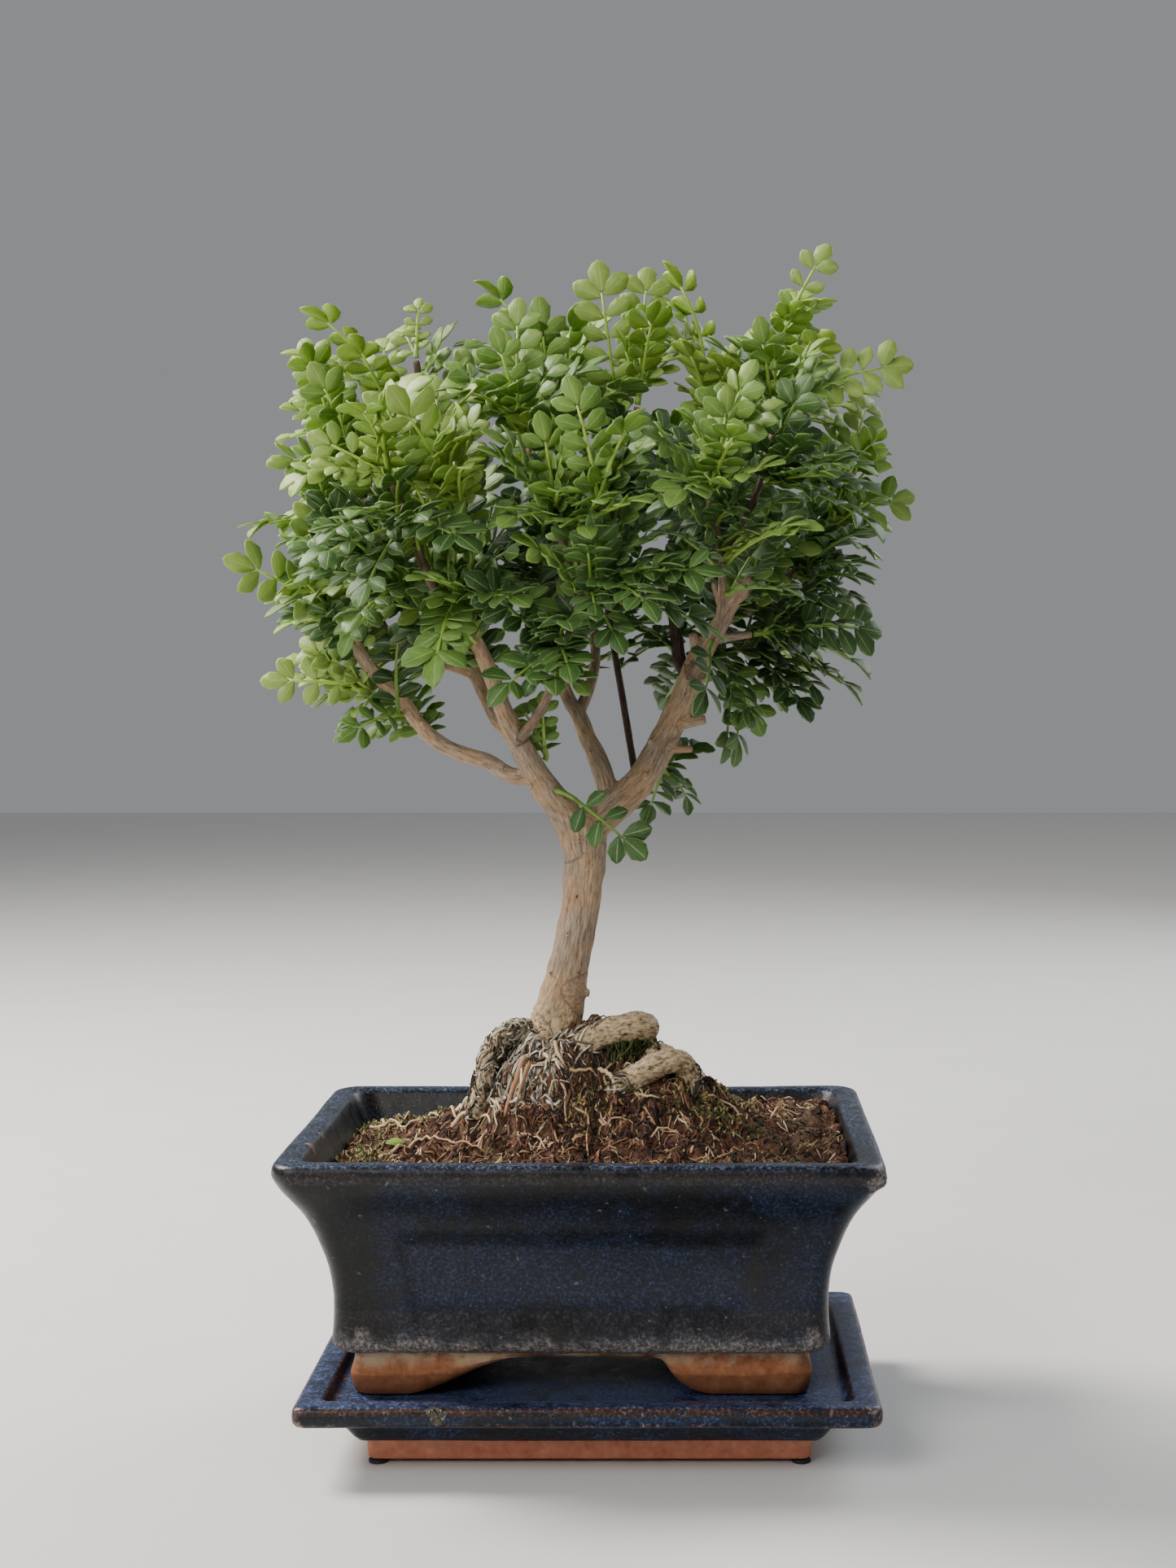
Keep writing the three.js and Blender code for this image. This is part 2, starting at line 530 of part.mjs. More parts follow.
// Leafy shoots: [limb, place along it from 0 to 1, tip of the end leaf, side leaves, facing, tone].

const SHOOTS = [
  ['lowLimb', 0.72, [-88, -6, 200], 1, 'front', 'bright'],
  ['lowLimb', 1, [-93, -30, 232], 1, 'front', 'bright'],
  ['cornerTwig', 0.3, [-90, -14, 240], 1, 'up', 'middle'],
  ['cornerTwig', 0.55, [-86, -6, 259], 1, 'front', 'bright'],
  ['cornerTwig', 0.85, [-84, 22, 279], 0, 'front', 'middle'],
  ['uprightLeftTwig', 0.9, [-76, 2, 287], 1, 'front', 'middle'],
  ['backLeftLimb', 0.84, [-79, 8, 304], 1, 'up', 'bright'],
  ['backLeftLimb', 1, [-49, 26, 309], 0, 'front', 'bright'],
  ['backLeftLimb', 0.7, [-32, 46, 298], 1, 'front', 'middle'],
  ['middleLimb', 1, [-32, 24, 314], 1, 'up', 'middle'],
  ['middleLimb', 0.94, [-14, 8, 306], 1, 'front', 'middle'],
  ['crownTwig', 0.6, [2, 18, 318], 0, 'front', 'bright'],
  ['crownTwig', 1, [16, 34, 319], 0, 'front', 'bright'],
  ['darkRightLimb', 0.7, [21, 8, 316], 1, 'outward', 'bright'],
  ['darkRightLimb', 1, [67, 20, 323], 0, 'front', 'bright'],
  ['darkRightLimb', 0.8, [91, 24, 290], 1, 'front', 'bright'],
  ['rightTwig', 1, [84, 30, 272], 1, 'outward', 'middle'],
  ['rightTwig', 0.72, [92, 28, 253], 1, 'front', 'middle'],
  ['rightTwig', 0.45, [81, 16, 232], 1, 'up', 'dark'],
  ['rightStubSide', 1, [82, 20, 214], 1, 'front', 'dark'],
  ['lowRightTwig', 0.5, [76, 14, 194], 1, 'up', 'dark'],
  ['lowRightTwig', 0.3, [48, 14, 185], 0, 'front', 'middle'],
  ['rightLimb', 0.34, [28, 20, 163], 0, 'up', 'middle'],
  ['leftLimb', 0.3, [16, -18, 153], 0, 'front', 'dark'],
  ['leftLimb', 0.42, [-12, -6, 197], 0, 'front', 'bright'],
  ['lowLimb', 0.6, [-66, -14, 184], 1, 'front', 'dark'],
  ['lowLimb', 0.5, [-62, 22, 187], 0, 'outward', 'middle'],
  ['frontLeftTwig', 0.5, [-80, -44, 217], 1, 'up', 'dark'],
  ['frontTwig', 1, [-45, -72, 271], 1, 'front', 'bright'],
  ['frontLeftTwig', 0.35, [-12, -66, 219], 1, 'up', 'middle'],
  ['frontLeftTwig', 1, [-68, -52, 262], 1, 'front', 'bright'],
  ['frontCrownTwig', 0.5, [-4, -76, 246], 0, 'up', 'middle'],
  ['frontLeftTwig', 0.8, [-54, -78, 240], 1, 'up', 'dark'],
  ['frontMiddleTwig', 1, [16, -76, 266], 1, 'up', 'middle'],
  ['frontCrownTwig', 1, [-22, -44, 290], 2, 'front', 'middle'],
  ['frontMiddleTwig', 0.55, [-22, -56, 195], 1, 'outward', 'dark'],
  ['frontMiddleTwig', 0.8, [26, -72, 228], 1, 'up', 'dark'],
  ['frontRightTwig', 0.6, [56, -46, 222], 1, 'outward', 'dark'],
  ['frontRightTwig', 1, [40, -72, 262], 2, 'up', 'middle'],
  ['rightFrontCrownTwig', 0.6, [74, -34, 260], 1, 'up', 'dark'],
  ['rightFrontCrownTwig', 1, [46, -34, 294], 1, 'front', 'middle'],
  ['frontRightTwig', 0.35, [30, -40, 192], 0, 'outward', 'dark'],
  ['middleLimb', 0.72, [-18, -8, 262], 1, 'up', 'dark'],
  ['backLeftTwig', 1, [-70, 64, 262], 1, 'outward', 'middle'],
  ['backLeftTwig', 0.55, [-74, 46, 226], 1, 'up', 'dark'],
  ['middleBackLimb', 1, [-18, 72, 288], 2, 'outward', 'bright'],
  ['middleBackLimb', 0.55, [-28, 70, 232], 1, 'outward', 'dark'],
  ['backTwig', 1, [18, 78, 270], 1, 'outward', 'middle'],
  ['backRightTwig', 1, [56, 66, 282], 2, 'outward', 'bright'],
  ['backRightTwig', 0.55, [46, 70, 240], 1, 'up', 'dark'],
  ['lowRightTwig', 1, [76, 58, 226], 1, 'outward', 'dark'],
  ['rightFrontCrownTwig', 0.35, [20, -8, 270], 1, 'up', 'dark'],
];

const TONES = {
  bright: { color: 0x8db63c, roughness: 0.5 },
  middle: { color: 0x4f8a2c, roughness: 0.48 },
  dark: { color: 0x245c2c, roughness: 0.42 },
};

function randomStream(seed) {
  let state = seed;
  return () => {
    state = (Math.imul(state, 1664525) + 1013904223) >>> 0;
    return state / 4294967296;
  };
}

function limbPlace(name, share) {
  const route = limbRoutes[name];
  const place = share * (route.length - 1);
  const i = Math.min(Math.floor(place), route.length - 2);
  const t = place - i;
  const [x, y, z, radius] = route[i].map((value, axis) => value + (route[i + 1][axis] - value) * t);
  const tangent = V(...route[i + 1]).sub(V(...route[i])).normalize();
  return { point: V(x, y, z), radius, tangent };
}

function facing(side, point) {
  if (side === 'front') return V(0, -1, 0.25);
  const outward = point.clone().sub(CANOPY_CENTRE).setZ(0).normalize();
  return side === 'up' ? V(0, 0, 1).addScaledVector(outward, 0.3) : outward.add(V(0, 0, 0.5));
}

// The stem leaves its limb square to the bark, unless it carries on from the limb's end.
function shootStem([limb, share, tip]) {
  const { point, radius, tangent } = limbPlace(limb, share);
  const target = V(...tip);
  const aim = target.clone().sub(point);
  const square = aim.addScaledVector(tangent, -aim.dot(tangent)).normalize();
  const out = share === 1 ? tangent : square;
  const start = point.clone().addScaledVector(out, share === 1 ? STEM_SEAT : radius + STEM_SEAT);
  const reach = target.distanceTo(start);
  const leafLength = THREE.MathUtils.clamp(reach * 0.7, 24, 38);
  const end = start.clone().lerp(target, Math.max(reach - leafLength, 3) / reach);
  end.z += 0.05 * reach;
  const bend = start.clone().addScaledVector(out, 0.4 * start.distanceTo(end));
  return { curve: new THREE.QuadraticBezierCurve3(start, bend, end), end, target };
}

const SPOT_GAP = 5.2;
const OWN_SPOT_GAP = 4.2;
const WOOD_GAP = 2.6;
const SIDE_LEAF_LENGTH = 33;
const SHORT_LEAF = 18;
const LONG_LEAF = 34;
const CANOPY_REACH = new THREE.Box3(V(-91, -80, 150), V(88, 77, 316));

const woodSegments = Object.values(limbRoutes).flatMap((route) => route.slice(1).map((to, i) => ({
  line: new THREE.Line3(V(...route[i]), V(...to)),
  radius: to[3],
  nearest: V(0, 0, 0),
})));

// A new leaf keeps clear of the leaves and stems that are there, of the wood, and of the canopy's limits.
function hasRoom(leaf, taken, shoot) {
  if (!CANOPY_REACH.containsPoint(leaf.tip)) return false;
  return leafSpots(leaf).every((spot) => {
    const clearOfLeaves = taken.every((other) => (
      spot.distanceTo(other.point) > (other.shoot === shoot ? OWN_SPOT_GAP : SPOT_GAP)));
    return clearOfLeaves && woodSegments.every(({ line, radius, nearest }) => (
      line.closestPointToPoint(spot, true, nearest).distanceTo(spot) > radius + WOOD_GAP));
  });
}

// Only a long leaf has room for a third pair, and a short one starts its first pair nearer its foot.
function endLeaf(shoot, stem, random) {
  const base = stem.curve.getPoint(0.97);
  const reach = stem.target.distanceTo(base);
  return {
    base,
    tip: stem.target,
    up: facing(shoot[4], stem.end),
    arch: 0.05 + 0.06 * random(),
    fold: 0.12,
    pairs: shoot[5] === 'bright' && reach > LONG_LEAF ? 3 : 2,
    leaflet: Math.min(11 + 1.4 * random(), reach * 0.42),
    wide: 0.95 + 0.15 * random(),
    bare: reach < SHORT_LEAF ? 3 : 5,
  };
}

// Side leaves stand alternately round the stem, and each turns on round it until it finds room.
function sideLeaf(stem, place, count, random, taken, shoot) {
  const share = (place + 0.9) / (count + 0.9);
  const base = stem.curve.getPoint(share);
  const along = stem.curve.getTangent(share);
  const side = V(0, 0, 1).cross(along).normalize();
  const top = along.clone().cross(side);
  const swing = (place + random()) * 2.4;
  const length = SIDE_LEAF_LENGTH * (0.88 + 0.24 * random());
  const leaflet = 11.4 + 1.4 * random();
  for (let turn = 0; turn < 13; turn++) {
    const angle = swing + (turn % 2 ? 1 : -1) * Math.ceil(turn / 2) * 0.5;
    const out = side.clone().multiplyScalar(Math.cos(angle)).addScaledVector(top, Math.sin(angle));
    const heading = out.multiplyScalar(0.85).addScaledVector(along, 0.5).normalize();
    const tip = base.clone().addScaledVector(heading, length);
    const up = facing('up', base);
    const leaf = { base, tip, up, arch: 0.08, fold: 0.15, pairs: 2, leaflet, wide: 1, bare: 7 };
    if (hasRoom(leaf, taken, shoot)) return leaf;
  }
  return null;
}

// End leaves first, so that the outline of the tree is kept, and then what fits between them.
function growShoots() {
  const taken = [];
  const take = (points, shoot) => points.forEach((point) => taken.push({ point, shoot }));
  const grown = SHOOTS.map((shoot, index) => {
    const stem = shootStem(shoot);
    const leaves = [endLeaf(shoot, stem, randomStream(1000 + 37 * index))];
    take([0.3, 0.6, 0.9].map((share) => stem.curve.getPoint(share)), index);
    take(leafSpots(leaves[0]), index);
    return { stem, leaves, tone: shoot[5] };
  });
  SHOOTS.forEach((shoot, index) => {
    const random = randomStream(5000 + 41 * index);
    for (let place = 0; place < shoot[3]; place++) {
      const leaf = sideLeaf(grown[index].stem, place, shoot[3], random, taken, index);
      if (leaf) {
        grown[index].leaves.push(leaf);
        take(leafSpots(leaf), index);
      }
    }
  });
  return grown;
}

function makeShoot({ stem, leaves }) {
  const route = [0, 0.5, 1].map((share) => [...stem.curve.getPoint(share).toArray(), STEM_RADIUS]);
  return wasm.Manifold.union([tube(route, 4), ...leaves.map(makeLeaf)]);
}

// Assembly

const model = new THREE.Group();

function addPiece(name, body, look) {
  const mesh = body.getMesh();
  const geometry = new THREE.BufferGeometry();
  geometry.setAttribute('position', new THREE.BufferAttribute(Float32Array.from(mesh.vertProperties), 3));
  geometry.setIndex(Array.from(mesh.triVerts));
  geometry.computeVertexNormals();
  const piece = new THREE.Mesh(geometry, new THREE.MeshStandardMaterial({ metalness: 0, ...look }));
  piece.name = name;
  model.add(piece);
}

addPiece('tray', makeTray(), { color: 0x1f2f55, roughness: 0.35 });
addPiece('pot', makePot(), { color: 0x1a2340, roughness: 0.35 });
for (const [row, sideY] of [['front', -1], ['back', 1]]) {
  for (const [side, sideX] of [['left', -1], ['right', 1]]) {
    addPiece(`pad_${row}_${side}`, makePad(sideX, sideY), { color: 0x151515, roughness: 0.9 });
  }
}
addPiece('soil', makeSoil(), { color: 0x4a2f22, roughness: 0.95 });
addPiece('trunk', makeWood(), { color: 0x9a7658, roughness: 0.85 });

growShoots().forEach((grown, index) => {
  addPiece(`shoot_${String(index + 1).padStart(2, '0')}`, makeShoot(grown), TONES[grown.tone]);
});

export default model;
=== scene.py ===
import bpy
import bmesh
import math
import random
from mathutils import Matrix, Vector, noise
from mathutils.geometry import intersect_point_line
from mathutils.kdtree import KDTree


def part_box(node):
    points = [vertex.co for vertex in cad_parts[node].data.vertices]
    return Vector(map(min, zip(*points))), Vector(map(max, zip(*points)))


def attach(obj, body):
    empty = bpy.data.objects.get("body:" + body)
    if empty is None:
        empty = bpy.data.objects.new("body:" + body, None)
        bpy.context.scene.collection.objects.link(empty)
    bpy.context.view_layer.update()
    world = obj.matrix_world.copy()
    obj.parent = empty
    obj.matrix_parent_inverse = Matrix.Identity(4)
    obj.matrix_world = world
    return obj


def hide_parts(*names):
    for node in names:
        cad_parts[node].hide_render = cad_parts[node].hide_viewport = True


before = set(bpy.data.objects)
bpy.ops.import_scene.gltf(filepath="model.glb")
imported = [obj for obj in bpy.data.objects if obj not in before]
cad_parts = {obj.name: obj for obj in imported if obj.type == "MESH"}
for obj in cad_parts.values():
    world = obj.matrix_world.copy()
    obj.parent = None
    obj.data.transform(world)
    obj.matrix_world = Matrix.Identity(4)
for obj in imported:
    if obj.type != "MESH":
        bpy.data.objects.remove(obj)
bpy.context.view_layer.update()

# Pieces are modelled in millimetres, and finishPiece brings them to metres.
mm = 0.001
up = Vector((0, 0, 1))

photo = {
    "width": 1445,
    "height": 1927,
    "focalPixels": 2940,
    "cameraPlace": (27.6, -655, 199.8),
    # the pixel that the camera looks straight at: the photo is cropped, so it isn't the middle
    "axisPixel": (846, 838),
}


def setCamera():
    data = bpy.data.cameras.new("camera")
    data.lens = photo["focalPixels"] * data.sensor_width / photo["height"]
    axisX, axisY = photo["axisPixel"]
    data.shift_x = (photo["width"] / 2 - axisX) / photo["height"]
    data.shift_y = (axisY - photo["height"] / 2) / photo["height"]
    data.clip_start = 0.01
    camera = bpy.data.objects.new("camera", data)
    camera.location = Vector(photo["cameraPlace"]) * mm
    camera.rotation_euler = (math.radians(90), 0, 0)
    bpy.context.collection.objects.link(camera)
    bpy.context.scene.camera = camera


setCamera()


# Small tools

def smoothStep(low, high, value):
    share = min(max((value - low) / (high - low), 0), 1)
    return share * share * (3 - 2 * share)


# Catmull-Rom curve through points of any number of values, ends repeated
def smoothLine(points, steps):
    def at(i):
        return points[min(max(i, 0), len(points) - 1)]
    line = []
    for i in range(len(points) - 1):
        for step in range(steps):
            t = step / steps
            line.append([
                0.5 * (2 * b + (c - a) * t + (2 * a - 5 * b + 4 * c - d) * t ** 2
                       + (3 * b - a - 3 * c + d) * t ** 3)
                for a, b, c, d in zip(at(i - 1), at(i), at(i + 1), at(i + 2))])
    line.append(list(points[-1]))
    return line


def newVerts(made):
    return [part for part in made["geom"] if isinstance(part, bmesh.types.BMVert)]


def freeEdges(made):
    return [part for part in made["geom"] if isinstance(part, bmesh.types.BMEdge) and part.is_boundary]


# For each [x, y, z, radius] of a route: its middle and two sides of its ring, with a point at either end
def ringsAlong(route):
    places = [Vector(point[:3]) for point in route]
    last = len(route) - 1
    across = (places[1] - places[0]).orthogonal()
    rings = []
    for i, point in enumerate(route):
        heading = (places[min(i + 1, last)] - places[max(i - 1, 0)]).normalized()
        across = (across - heading * across.dot(heading)).normalized()
        rings.append((places[i], across * point[3], heading.cross(across) * point[3]))
    return [(places[0], Vector(), Vector()), *rings, (places[last], Vector(), Vector())]


# Closed tubes along (route, tint) pairs whose routes have as many points: one sheet is cut into strips,
# and each strip is rolled round its route. The seams are left for remove_doubles.
def addTubes(bm, tubes, sides, layers=None, materialIndex=0):
    rings = [ringsAlong(route) for route, _ in tubes]
    columns, rows = len(rings[0]) - 1, (sides + 1) * len(tubes) - 1
    made = bmesh.ops.create_grid(bm, x_segments=columns, y_segments=rows, size=0.5)["verts"]
    strip = {}
    for vert in made:
        row = round((vert.co.y + 0.5) * rows)
        strip[vert] = row // (sides + 1)
        middle, side, third = rings[strip[vert]][round((vert.co.x + 0.5) * columns)]
        angle = row % (sides + 1) * math.tau / sides
        vert.co = middle + side * math.cos(angle) + third * math.sin(angle)
        if layers:
            vert[layers["tint"]] = tubes[strip[vert]][1]
    faces = {face for vert in made for face in vert.link_faces}
    for face in faces:
        face.material_index = materialIndex
    joins = [face for face in faces if len({strip[vert] for vert in face.verts}) > 1]
    bmesh.ops.delete(bm, geom=joins, context="FACES")


def closeTubes(bm):
    bmesh.ops.remove_doubles(bm, verts=bm.verts, dist=0.001)
    bmesh.ops.recalc_face_normals(bm, faces=bm.faces)


def finishPiece(bm, name, materials, nodes=(), sharpAngle=None):
    bmesh.ops.scale(bm, vec=(mm, mm, mm), verts=bm.verts)
    mesh = bpy.data.meshes.new(name)
    bm.to_mesh(mesh)
    bm.free()
    mesh.shade_smooth()
    if sharpAngle:
        mesh.set_sharp_from_angle(angle=math.radians(sharpAngle))
    for material in materials:
        mesh.materials.append(material)
    piece = bpy.data.objects.new(name, mesh)
    bpy.context.collection.objects.link(piece)
    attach(piece, "root")
    if nodes:
        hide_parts(*nodes)
    triangles = sum(len(face.vertices) - 2 for face in mesh.polygons)
    if not name.startswith("shoot"):
        print("made", name, triangles, "triangles")
    return piece


# Moves all that is in one bmesh into another
def addMesh(bm, other):
    mesh = bpy.data.meshes.new("work")
    other.to_mesh(mesh)
    other.free()
    bm.from_mesh(mesh)
    bpy.data.meshes.remove(mesh)


# The mesh of bm with a modifier applied, back in a new bmesh
def withModifier(bm, kind, **settings):
    mesh = bpy.data.meshes.new("work")
    bm.to_mesh(mesh)
    bm.free()
    work = bpy.data.objects.new("work", mesh)
    bpy.context.collection.objects.link(work)
    modifier = work.modifiers.new(kind.lower(), kind)
    for name, value in settings.items():
        setattr(modifier, name, value)
    done = bpy.data.meshes.new_from_object(work.evaluated_get(bpy.context.evaluated_depsgraph_get()))
    result = bmesh.new()
    result.from_mesh(done)
    bpy.data.objects.remove(work)
    bpy.data.meshes.remove(mesh)
    bpy.data.meshes.remove(done)
    return result


# Materials

# What comes out of a node. Numbers of this kind are added, subtracted and multiplied with +, - and *.
class Value:
    def __init__(self, nodes, socket):
        self.nodes = nodes
        self.socket = socket

    def maths(self, operation, other=0.5):
        return self.nodes.add("Math", 0, {0: self, 1: other}, operation=operation)

    def __add__(self, other):
        return self.maths("ADD", other)

    def __sub__(self, other):
        return self.maths("SUBTRACT", other)

    def __mul__(self, other):
        return self.maths("MULTIPLY", other)

    # From 0 at low to 1 at high, with soft ends
    def between(self, low, high):
        values = {"Value": self, "From Min": low, "From Max": high}
        return self.nodes.add("MapRange", "Result", values, interpolation_type="SMOOTHSTEP")

    def ramp(self, stops):
        colour = self.nodes.add("ValToRGB", "Color", {"Fac": self})
        elements = colour.socket.node.color_ramp.elements
        while len(elements) < len(stops):
            elements.new(0.5)
        for element, (place, shade) in zip(elements, stops):
            element.position = place
            element.color = (*shade, 1)
        return colour


# The nodes of one material. Texture scales are per millimetre of object coordinates.
class Nodes:
    def __init__(self, name, roughness):
        self.material = bpy.data.materials.new(name)
        self.material.use_nodes = True
        self.tree = self.material.node_tree
        self.shader = self.tree.nodes["Principled BSDF"]
        self.shader.inputs["Roughness"].default_value = roughness
        self.place = self.stretched(self.add("TexCoord", "Object"), (1 / mm, 1 / mm, 1 / mm))

    # A value goes in by a link, and a plain number or colour is set on the socket itself
    def put(self, value, socket):
        if isinstance(value, Value):
            self.tree.links.new(value.socket, socket)
        else:
            socket.default_value = (*value, 1) if socket.type == "RGBA" else value

    def add(self, kind, output, values=None, **settings):
        node = self.tree.nodes.new("ShaderNode" + kind)
        for name, setting in settings.items():
            setattr(node, name, setting)
        for name, value in (values or {}).items():
            self.put(value, node.inputs[name])
        return Value(self, node.outputs[output])

    def stretched(self, place, scale):
        return self.add("Mapping", "Vector", {"Vector": place, "Scale": scale})

    def attribute(self, name, output="Fac"):
        return self.add("Attribute", output, attribute_name=name)

    def noise(self, scale, detail=3, roughness=0.55, place=None):
        values = {"Vector": place or self.place, "Scale": scale, "Detail": detail, "Roughness": roughness}
        return self.add("TexNoise", "Fac", values)

    def mixed(self, share, first, second):
        return self.add("Mix", 2, {0: share, 6: first, 7: second}, data_type="RGBA")

    # The axes of a vector, one value for each letter
    def axes(self, vector, letters):
        return [self.add("SeparateXYZ", letter, {"Vector": vector}) for letter in letters]

    def finish(self, colour, relief, strength, distance):
        self.put(colour, self.shader.inputs["Base Color"])
        bump = self.add("Bump", "Normal",
                        {"Height": relief, "Strength": strength, "Distance": distance * mm})
        self.put(bump, self.shader.inputs["Normal"])
        return self.material


# Dark blue speckled glaze that breaks brown on edges, over terracotta that stays bare below bareHeight.
# The attributes edge, hollow, bare and pale are painted on the mesh.
def glazeMaterial(name, look):
    nodes = Nodes(name, look["roughness"])
    nodes.shader.inputs["Specular IOR Level"].default_value = look["specular"]
    height, sideways = nodes.axes(nodes.place, "ZX")
    facingUp = nodes.axes(nodes.add("NewGeometry", "Normal"), "Z")[0]
    speckle = nodes.noise(1.15, 3, 0.75)
    mottle = nodes.noise(0.16, 5, 0.6)
    # blue where the glaze has pooled, and darker over the pot's left side
    pooled = nodes.attribute("hollow") * 0.3 + nodes.noise(0.03, 2) + mottle * 0.9
    pooled -= sideways.between(-44, -62) * 0.45
    dark, blue = speckle.ramp(look["darkSpeckle"]), speckle.ramp(look["speckle"])
    colour = nodes.mixed(pooled.between(0.75, 1.2), dark, blue)
    # painted light: glaze that faces up gets the lighter top speckle, in patches, as if lit from above
    top = facingUp.between(0.3, 0.9) * mottle.between(0.25, 0.6)
    colour = nodes.mixed(top, colour, speckle.ramp(look["litTopSpeckle"]))
    broken = nodes.attribute("edge") + mottle * 0.5
    colour = nodes.mixed(broken.between(0.52, 0.8), colour, speckle.ramp(look["edge"]))
    fade = look["bandFade"]
    for low, high, most in look["brownBands"]:
        band = height.between(low - fade, low) * height.between(high + fade, high)
        share = band * mottle.between(0.3, 0.52) * most
        colour = nodes.mixed(share, colour, speckle.ramp(look["brown"]))
    dust = nodes.noise(0.5, 2, 0.5).between(0.7, 0.76)
    colour = nodes.mixed(dust * 0.25, colour, (0.3, 0.29, 0.29))
    # the glaze ends on a wavy line, with a pale ragged bloom above it and bare clay below
    level = height - look["bareHeight"] - (nodes.noise(0.09, 3) - 0.5) * look["wave"]
    lowness = level.between(look["bloom"], 0.2)
    bloom = lowness * (mottle + lowness * 0.35).between(0.42, 0.78) * look["bloomShare"]
    bloom = bloom.maths("MAXIMUM", nodes.attribute("pale") * 0.8)
    colour = nodes.mixed(bloom, colour, speckle.ramp(look["bloomColours"]))
    clay = nodes.noise(0.35, 5, 0.65).ramp(look["clay"])
    # painted shade: bare clay more than 5.5 mm below the glaze line, the lower part of the feet, is
    # darkened towards dark brown
    clay = nodes.mixed(level.between(-5.2, -5.8) * look["lowClayPaintedShade"], clay, (0.09, 0.035, 0.018))
    haze = level.between(-4.5, -0.4) * mottle.between(0.38, 0.62) * look["haze"]
    clay = nodes.mixed(haze, clay, (0.5, 0.41, 0.28))
    bare = level.between(0.25, -0.25).maths("MAXIMUM", nodes.attribute("bare") * 0.6)
    colour = nodes.mixed(bare, colour, clay)
    gloss = {"Value": mottle, "From Min": 0.3, "From Max": 0.7,
             "To Min": look["roughness"], "To Max": look["roughness"] + 0.22}
    matt = bare.maths("MAXIMUM", bloom)
    rough = nodes.add("Mix", 0, {0: matt, 2: nodes.add("MapRange", "Result", gloss), 3: 0.88})
    nodes.put(rough, nodes.shader.inputs["Roughness"])
    return nodes.finish(colour, nodes.noise(2.4, 3, 0.7) + mottle * 2.2, 0.4, 0.16)


potLook = {
    "roughness": 0.22,
    "specular": 0.28,
    "speckle": [(0.36, (0.0015, 0.002, 0.005)), (0.5, (0.003, 0.0055, 0.017)),
                (0.66, (0.018, 0.034, 0.08))],
    "darkSpeckle": [(0.38, (0.0015, 0.0015, 0.002)), (0.56, (0.003, 0.004, 0.005)),
                    (0.72, (0.014, 0.017, 0.022))],
    # painted light: the lighter speckle on glaze that faces up
    "litTopSpeckle": [(0.36, (0.003, 0.004, 0.009)), (0.5, (0.011, 0.017, 0.04)), (0.62, (0.105, 0.14, 0.21))],
    "edge": [(0.38, (0.012, 0.008, 0.008)), (0.55, (0.05, 0.038, 0.036)), (0.72, (0.17, 0.15, 0.15))],
    "brown": [(0.38, (0.005, 0.004, 0.004)), (0.55, (0.02, 0.0155, 0.016)), (0.72, (0.08, 0.068, 0.068))],
    "brownBands": [(74.8, 77.8, 0.8), (34, 39.2, 0.6)], "bandFade": 0.8,
    "clay": [(0.3, (0.17, 0.06, 0.024)), (0.55, (0.28, 0.11, 0.048)), (0.75, (0.38, 0.18, 0.09))],
    "bareHeight": 27.8, "wave": 3.4, "bloom": 8, "bloomShare": 0.95,
    "bloomColours": [(0.36, (0.045, 0.04, 0.042)), (0.5, (0.125, 0.112, 0.11)), (0.64, (0.32, 0.29, 0.26))],
    # haze, and the share of painted shade on the lower part of the feet
    "haze": 0.85, "lowClayPaintedShade": 0.45,
}
trayLook = {
    **potLook,
    "speckle": [(0.34, (0.003, 0.005, 0.012)), (0.5, (0.006, 0.013, 0.04)), (0.66, (0.045, 0.09, 0.19))],
    "darkSpeckle": [(0.36, (0.002, 0.003, 0.004)), (0.56, (0.004, 0.007, 0.013)),
                    (0.72, (0.022, 0.034, 0.06))],
    # painted light: the lighter speckle on glaze that faces up
    "litTopSpeckle": [(0.36, (0.014, 0.019, 0.048)), (0.52, (0.031, 0.047, 0.115)), (0.66, (0.12, 0.17, 0.3))],
    "edge": [(0.36, (0.028, 0.012, 0.009)), (0.54, (0.1, 0.045, 0.03)), (0.7, (0.5, 0.4, 0.36))],
    "brown": [(0.38, (0.014, 0.006, 0.005)), (0.57, (0.05, 0.022, 0.017)), (0.74, (0.26, 0.18, 0.15))],
    "brownBands": [(17.7, 19.1, 0.95)], "bandFade": 0.25,
    "clay": [(0.3, (0.4, 0.13, 0.075)), (0.55, (0.52, 0.19, 0.11)), (0.75, (0.62, 0.27, 0.17))],
    "bareHeight": 6.5, "wave": 0.5, "bloom": 1.0, "bloomShare": 0.3, "haze": 0.15, "lowClayPaintedShade": 0,
}
potGlaze = glazeMaterial("potGlaze", potLook)
trayGlaze = glazeMaterial("trayGlaze", trayLook)


def padMaterial():
    nodes = Nodes("padRubber", 0.8)
    colour = nodes.noise(1.2).ramp([(0.35, (0.008, 0.008, 0.008)), (0.7, (0.03, 0.03, 0.028))])
    return nodes.finish(colour, nodes.noise(3), 0.3, 0.1)


peatColours = {
    "red": [(0.34, (0.022, 0.009, 0.006)), (0.5, (0.1, 0.038, 0.02)), (0.7, (0.24, 0.1, 0.05))],
    "olive": [(0.34, (0.025, 0.018, 0.008)), (0.52, (0.1, 0.075, 0.028)), (0.7, (0.24, 0.2, 0.08))],
    "grey": [(0.36, (0.008, 0.007, 0.006)), (0.52, (0.05, 0.042, 0.032)), (0.7, (0.24, 0.21, 0.16))],
}


